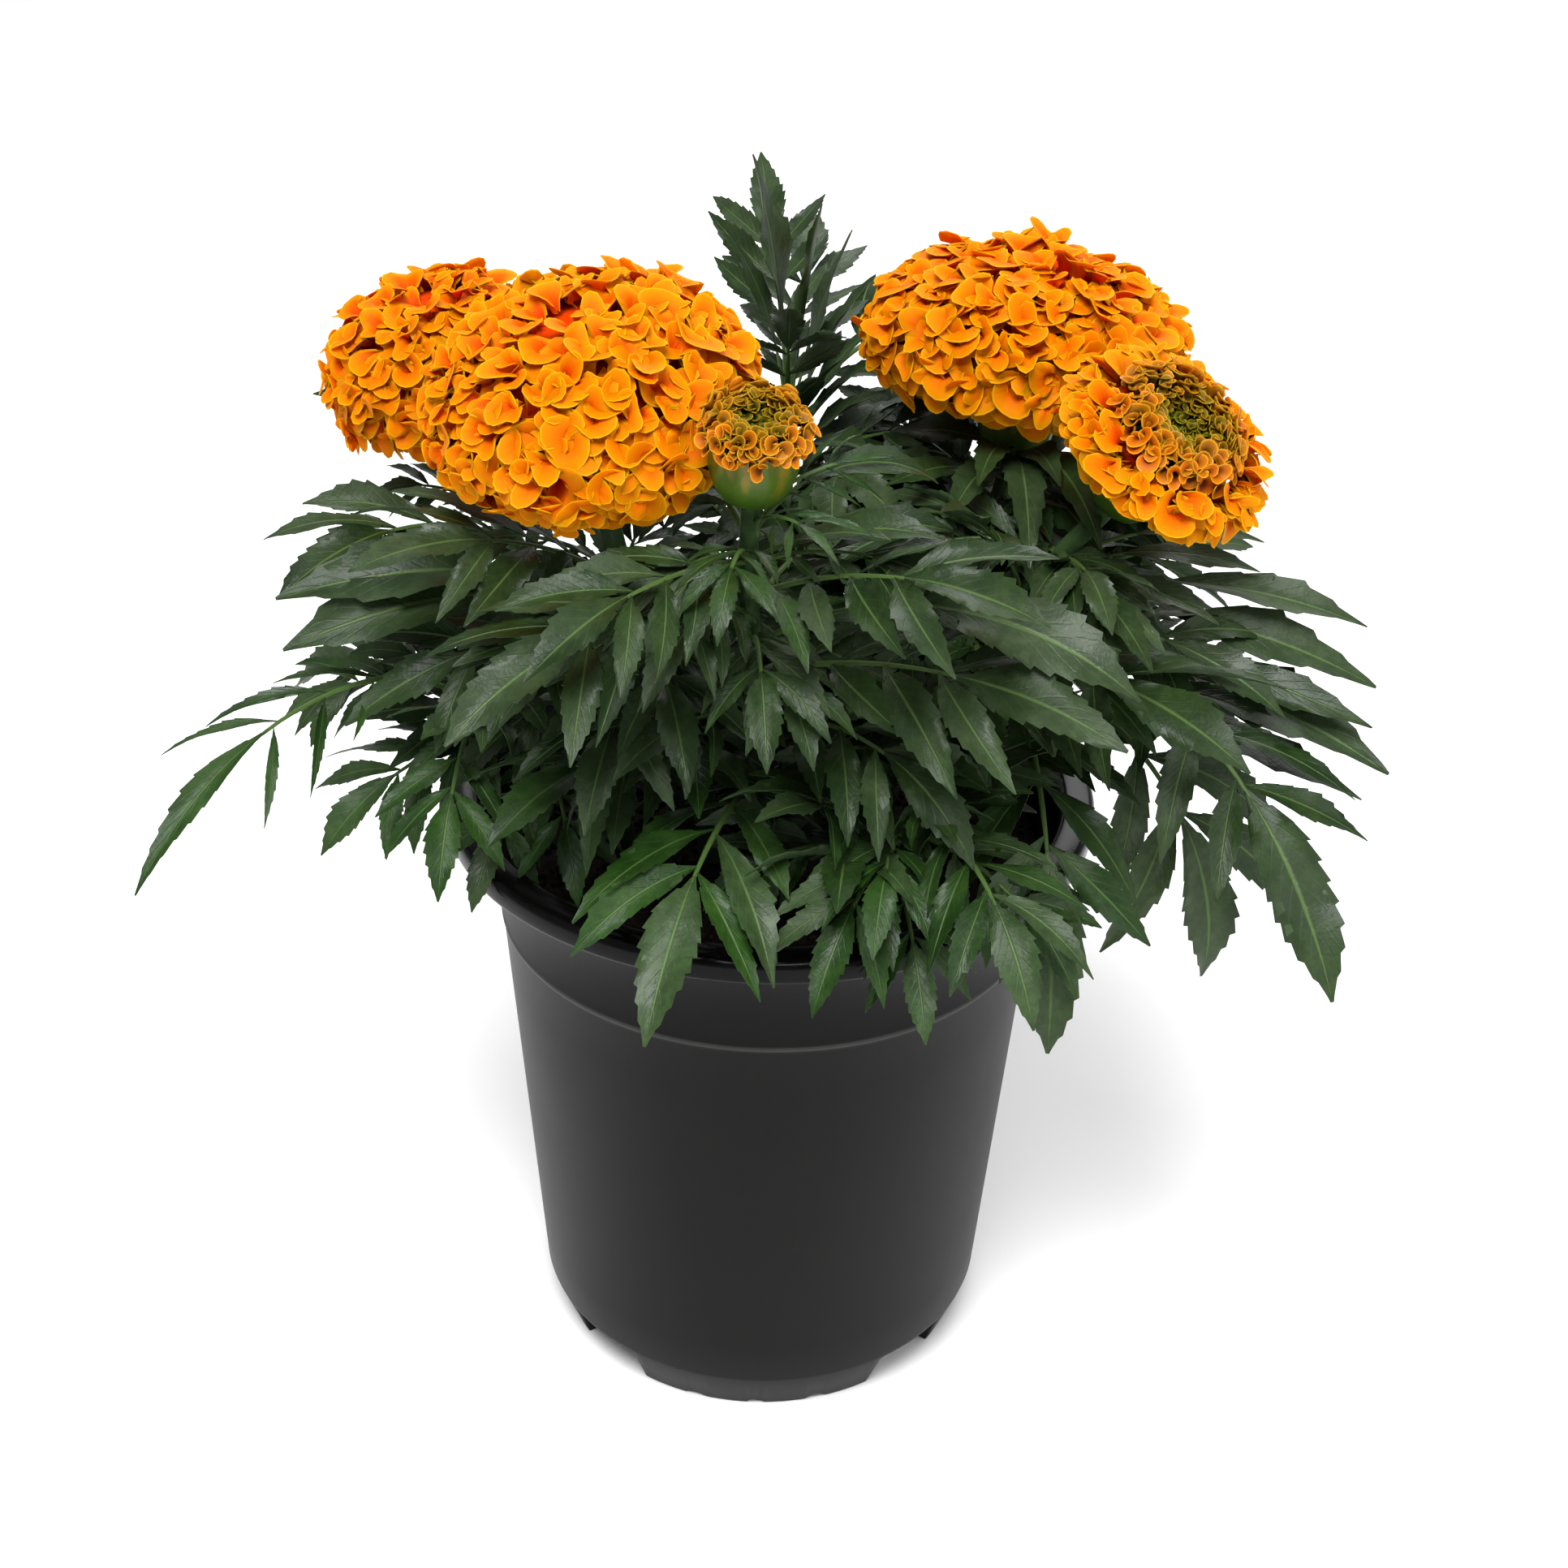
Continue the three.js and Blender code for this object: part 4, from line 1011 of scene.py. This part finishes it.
# Many petals, each a funnel with one side slit open. Its middle line starts at `start` and
# leans from `outward` towards `away`. Going along it, the angle between wall and middle line
# grows with a power of the share, so a slim tube flares into a broad lip; the slit widens
# from root to rim. The wall is shorter towards the slit, by a power of one less a power of the
# share across, which rounds the lip. Slow sines cut its rim into soft lobes and ripple it.
# open is how far round the lip reaches on each side, in degrees, roll its last angle, root the
# radius of the tube at its root and flare the power of the share along. At its root the tube
# reaches round by `rootReach` on each side. olive is its kind.
def petalBlades(start, outward, away, size, look, olive, seed):
    count = len(start)
    pick = lambda n: draw(seed + n + 3.7 * np.arange(count))[:, None, None]
    across, away = turnedPair(np.cross(away, outward), away, swing(look["spin"], pick(1)[..., 0]))
    lean = np.radians(between(look["lean"], pick(2)[..., 0]))
    outward, away = turnedPair(outward, away, lean)
    a = np.linspace(-1, 1, petalRules["columns"])[None, None, :]
    t = np.array(petalRules["along"])[None, :, None]
    size = size[:, None, None]
    roll = np.radians(between(look["roll"], pick(3)))
    reach = np.radians(petalRules["rootReach"]), np.radians(between(look["open"], pick(4)))
    turn = a * between(reach, ease(t, 0.0, 0.9))
    waves = between(look["waves"], pick(5))
    ripple = np.sin(waves * math.pi * a + 6.3 * pick(6))
    lobe = np.cos(1.3 * waves * math.pi * a + 6.3 * pick(7))
    slope = roll * t ** look["flare"] * (1 - look["sides"] * a**2)
    slope = slope + t**2 * look["ripple"] * ripple * (0.35 + 0.65 * np.abs(a))
    outline = np.maximum(1 - np.abs(a) ** 2.6, 0.14) ** look["rounding"]
    step = size * np.diff(t, axis=1) * outline * (1 + look["lobe"] * lobe * t[:, 1:] ** 2)
    middle = (slope[:, 1:] + slope[:, :-1]) / 2
    none = 0 * (size + a)
    high = np.concatenate([none, np.cumsum(np.cos(middle) * step, 1)], 1) + size * t[:, :1]
    wide = np.concatenate([none, np.cumsum(np.sin(middle) * step, 1)], 1) + look["root"]
    high = high + size * t**3 * look["lift"] * ripple
    half = petalRules["thickness"] * (1 - 0.3 * t) / 2
    wide = thereAndBack(wide - half * np.cos(slope), wide + half * np.cos(slope))
    high = thereAndBack(high + half * np.sin(slope), high - half * np.sin(slope))
    start, outward, away, across = (v[:, None, None] for v in (start, outward, away, across))
    points = start + outward * high[..., None]
    points = points + spokes(away, across, thereAndBack(turn)) * wide[..., None]
    kind = olive[:, None, None] + thereAndBack(0 * a, 2 + 0 * a)
    return tubeParts(points, (t, thereAndBack(a), pick(9)), kind)


# Where petals stand: a spiral down an egg, a golden angle apart, equal areas for each, between
# two slopes, measured in degrees from the way that the head faces. A dent sinks the
# petals round a direction given in the head's own turn and slope. Each petal starts far enough
# inside for one of the usual size to end at the solid's surface. Returned are each petal's
# place on a ball, its start, its two directions and how olive it is.
def spiralPlaces(head, look, size):
    centre, axis, first, second = headFrame(head)
    count = look["count"]
    i = np.arange(count)
    level = between(np.cos(np.radians(look["slopes"])), (i + 0.5) / count)
    far = np.sqrt(1 - level**2)
    turn = i * goldenAngle
    ray = spokes(first, second, turn)
    tall = np.where(level > 0, head["up"], head["down"])
    slope = np.arctan2(far / head["across"], level / tall)[:, None]
    outward, away = turnedPair(axis, ray, slope)
    start = centre + ray * (far * head["across"])[:, None] + axis * (level * tall)[:, None]
    start = start - outward * (headRules["petalSunk"] * size)[:, None]
    across = head["across"]
    bumpy = lumps(start, headRules["lumpSize"] * across, count) * headRules["lumpDepth"] * across
    start = start + outward * (bumpy + headRules["uneven"] * (draw(i + 0.37) - 0.5))[:, None]
    olive = np.zeros(count)
    spot = np.stack([far * np.cos(turn), far * np.sin(turn), level], -1)
    for dent in look["dents"]:
        down, way = math.radians(dent["slope"]), math.radians(dent["turn"])
        to = [math.sin(down) * math.cos(way), math.sin(down) * math.sin(way), math.cos(down)]
        near = np.exp(-(np.linalg.norm(spot - to, axis=-1) / dent["size"]) ** 2)
        start = start - outward * (near * dent["depth"])[:, None]
        olive = np.maximum(olive, near * dent["olive"])
    return spot, start, outward, away, olive


# The core that the petals stand on: an egg, as in the solids, with the height of its upper half
# scaled by top and the whole egg by share.
def headCore(head, top, share):
    centre, axis, first, second = headFrame(head)
    slope = np.radians([124, 105, 85, 62, 40, 20, 2])[:, None]
    level = np.cos(slope)
    tall = np.where(level > 0, head["up"] * top, head["down"])
    wide = np.sin(slope) * head["across"] * share
    points = centre + spokes(first, second, circle(16)) * wide[..., None]
    points = points + axis * (level * tall * share)[..., None]
    return tubeParts(points[None], (0.25, 0.0, 0.5), 0.0)


# size is a petal's length along its surface, as a share of the head's radius, and sizes what the
# draws make of it. small is how much smaller the petals are at the side that `smallTurn` faces.
# oliveTips is how olive about a quarter of them are. core is the core's height above and its
# size, as shares. Angles are in degrees.
petalLook = {
    "slopes": (5, 133),
    "sizes": (0.78, 1.2),
    "oliveTips": 0.0,
    "core": (1.0, 0.76),
    "root": 0.7,
    "flare": 2.9,
    "spin": 110,
    "lean": (-6, 38),
    "roll": (64, 132),
    "open": (88, 152),
    "sides": 0.12,
    "rounding": 0.4,
    "waves": (1.1, 2.4),
    "ripple": 0.6,
    "lobe": 0.13,
    "lift": 0.14,
}
blooms = {
    "left_bloom": {
        "count": 720,
        "size": 0.33,
        "small": 0.25,
        "smallTurn": 180,
        "dents": [{"turn": 100, "slope": 30, "size": 0.26, "depth": 2.5, "olive": 0.7}],
    },
    "right_bloom": {
        "count": 700,
        "size": 0.335,
        "small": 0.15,
        "smallTurn": 45,
        "dents": [{"turn": 75, "slope": 42, "size": 0.26, "depth": 2.5, "olive": 0.6}],
    },
    "rear_bloom": {
        "count": 420,
        "size": 0.37,
        "small": 0.1,
        "smallTurn": 0,
        "dents": [{"turn": 290, "slope": 45, "size": 0.25, "depth": 2.0, "olive": 0.3}],
    },
}


# A head's petals on its core: sizes drawn at random, and smaller towards one side.
def petalHead(head, look, seed):
    i = np.arange(look["count"])
    size = head["across"] * look["size"] * between(look["sizes"], draw(i + seed))
    spot, start, outward, away, olive = spiralPlaces(head, look, size)
    toSmall = math.radians(look["smallTurn"])
    beside = np.clip(spot[:, 0] * math.cos(toSmall) + spot[:, 1] * math.sin(toSmall), 0, 1)
    size = size * (1 - look["small"] * beside)
    olive = np.maximum(olive, look["oliveTips"] * (draw(i + seed + 0.9) > 0.72))
    petals = petalBlades(start, outward, away, size, look, olive, seed)
    return joinParts([headCore(head, *look["core"]), petals])


print("petals")
for number, (name, look) in enumerate(blooms.items()):
    part = petalHead(heads[name], {**petalLook, **look}, 500 * (number + 1))
    makePiece(f"{name}_ray_petals", part, petalSkin, [f"{name}_petals"])

# The young bloom's skirt: long ragged petals round its widest level, some of them olive.
skirtLook = {
    "count": 165,
    "slopes": (52, 112),
    "size": 0.5,
    "sizes": (0.8, 1.15),
    "small": 0,
    "smallTurn": 0,
    "dents": [],
    "oliveTips": 0.3,
    "core": (0.02, 0.67),
    "root": 0.6,
    "flare": 2.2,
    "spin": 70,
    "lean": (-6, 36),
    "roll": (45, 110),
    "open": (65, 135),
    "sides": 0.1,
    "rounding": 0.34,
    "waves": (1.2, 2.5),
    "ripple": 0.6,
    "lobe": 0.12,
    "lift": 0.13,
}
skirt = petalHead(heads["young_bloom"], skirtLook, 2300)
makePiece("young_bloom_skirt", skirt, petalSkin, ["young_bloom_petals"])

floretLook = {
    "root": 0.35,
    "flare": 2.6,
    "spin": 180,
    "lean": (-10, 20),
    "roll": (55, 100),
    "open": (120, 168),
    "sides": 0.1,
    "rounding": 0.22,
    "waves": (1.0, 2.2),
    "ripple": 0.5,
    "lobe": 0.1,
    "lift": 0.1,
}
# A seated disc reaches down to its calyx. Each ring is (count, share of the disc's radius, lean
# in degrees, floret's length, sunk by).
florets = {
    "young_bloom": {
        "seated": False,
        "wide": 0.54,
        "green": 0.06,
        "rings": [
            (28, 1.06, 60, 6.2, 1.2), (30, 0.99, 52, 6.2, 0.5), (31, 0.92, 44, 6.0, 0.1),
            (31, 0.85, 35, 5.6, 0.0), (30, 0.78, 25, 5.2, 0.0), (28, 0.71, 14, 4.6, 0.1),
            (26, 0.63, 2, 4.0, 0.5), (24, 0.55, -10, 3.4, 1.3), (21, 0.46, -20, 2.9, 2.5),
            (17, 0.37, -24, 2.5, 3.7), (13, 0.28, -20, 2.2, 4.6), (9, 0.19, -14, 2.0, 5.2),
            (5, 0.1, -8, 1.9, 5.5), (2, 0.03, 0, 1.9, 5.6),
        ],
    },
    "opening_bud": {
        "seated": True,
        "wide": 0.62,
        "green": 0.2,
        "rings": [
            (22, 1.14, 82, 5.0, 1.6), (24, 1.12, 66, 5.2, 0.8), (25, 1.06, 52, 5.2, 0.3),
            (26, 0.98, 40, 5.0, 0.0), (26, 0.89, 26, 4.6, 0.0), (25, 0.8, 10, 4.0, 0.2),
            (23, 0.7, -6, 3.4, 1.0), (20, 0.6, -18, 2.8, 2.2), (18, 0.5, -24, 2.5, 3.2),
            (16, 0.41, -24, 2.3, 3.8), (12, 0.31, -20, 2.1, 4.4), (9, 0.21, -16, 1.9, 4.8),
            (5, 0.12, -8, 1.8, 5.0), (2, 0.04, 0, 1.8, 5.1),
        ],
    },
}


# The disc is a dish whose middle is sunk. Florets stand in rings on it, leaning out at its edge
# and in over the hollow.
def floretPart(head, look, seed):
    centre, axis, first, second = headFrame(head)
    base = -seatDepth(head) if look["seated"] else 0.0
    wide = head["across"] * look["wide"]
    low, crest = base + 0.3, base + head["up"] * 0.6
    rows = [(0.5, low), (7, low), (wide, low + head["up"] * 0.25), (wide * 0.8, crest - 1.0)]
    rows += [(wide * 0.5, crest - 2.0), (wide * 0.3, crest - 5.0), (0.5, crest - 5.3)]
    ray = spokes(first, second, circle(24))
    disc = np.stack([centre + ray * r + axis * z for r, z in rows])[None]
    parts = [tubeParts(disc, (0.2, 0.0, 0.5), 0.0)]
    for k, (count, share, lean, long, sunk) in enumerate(look["rings"]):
        i = np.arange(count)
        pick = lambda n: draw(seed + 31 * k + n + 1.7 * i)
        spin = (i + 0.5 * (k % 2) + 0.5 * pick(1)) * 2 * math.pi / count
        out = spokes(first, second, spin)
        leaning = np.radians(lean + 24 * (pick(2) - 0.5))[:, None]
        up, over = turnedPair(axis, out, leaning)
        foot = centre + out * (wide * share - 1.0) + axis * (crest - 2.0 - sunk)
        reach = np.clip(share - look["green"] + 0.22 * (pick(7) - 0.5), 0, 1)
        size = long * (0.75 + 0.4 * pick(3))
        parts.append(petalBlades(foot, up, over, size, floretLook, reach, seed + 31 * k))
    return joinParts(parts)


print("florets")
for number, (name, look) in enumerate(florets.items()):
    part = floretPart(heads[name], look, 3000 + 700 * number)
    makePiece(f"{name}_trumpets", part, floretSkin, [f"{name}_florets"])

stageLook = {"floorSize": 12.0, "floorColor": (0.9, 0.9, 0.9), "sky": 0.42}


# A square of pale paper under the pot and an even white sky.
def makeStage():
    half = stageLook["floorSize"] / 2
    mesh = bpy.data.meshes.new("floor")
    corners = [(-half, -half, 0), (half, -half, 0), (half, half, 0), (-half, half, 0)]
    mesh.from_pydata(corners, [], [(0, 1, 2, 3)])
    floor = link("floor", mesh)
    material = bpy.data.materials.new("floor_paper")
    material.use_nodes = True
    shader = material.node_tree.nodes["Principled BSDF"]
    shader.inputs["Base Color"].default_value = (*stageLook["floorColor"], 1)
    shader.inputs["Roughness"].default_value = 0.9
    mesh.materials.append(material)
    world = bpy.data.worlds.new("studio")
    world.use_nodes = True
    world.node_tree.nodes["Background"].inputs[0].default_value = (1, 1, 1, 1)
    world.node_tree.nodes["Background"].inputs[1].default_value = stageLook["sky"]
    bpy.context.scene.world = world


# Each light is a soft square: where it stands, what it looks at, its width and its power.
lights = {
    "key": {"place": (-0.2, -1.0, 2.0), "size": 1.0, "power": 66},
    "fill": {"place": (1.4, -0.9, 1.0), "size": 1.2, "power": 12},
    "back": {"place": (0.3, 1.5, 1.5), "size": 1.2, "power": 18},
}


# Every light faces a point in the middle of the plant.
def makeLights():
    target = Vector((0, 0, 0.2))
    for name, plan in lights.items():
        data = bpy.data.lights.new(name, "AREA")
        data.size, data.energy = plan["size"], plan["power"]
        lamp = link(name, data)
        lamp.location = plan["place"]
        lamp.rotation_euler = (target - lamp.location).to_track_quat("-Z", "Y").to_euler()


# The photograph's own view: where the camera stands, and its right and up directions.
cameraPlan = {
    "place": (0.0035, -0.5356, 0.4762),
    "forward": (0.0, 0.8616, -0.5075),
    "up": (-0.0252, 0.5074, 0.8614),
    "lens": 55.9,
}


def makeCamera():
    data = bpy.data.cameras.new("camera")
    data.lens, data.sensor_width = cameraPlan["lens"], 36
    data.clip_start, data.clip_end = 0.01, 50
    camera = link("camera", data)
    back = -Vector(cameraPlan["forward"]).normalized()
    right = Vector(cameraPlan["up"]).cross(back).normalized()
    turned = Matrix((right, back.cross(right), back)).transposed()
    camera.matrix_world = Matrix.Translation(cameraPlan["place"]) @ turned.to_4x4()
    bpy.context.scene.camera = camera


makeStage()
makeLights()
makeCamera()
bpy.context.scene.view_settings.view_transform = "Standard"
print("floor, lights and camera")
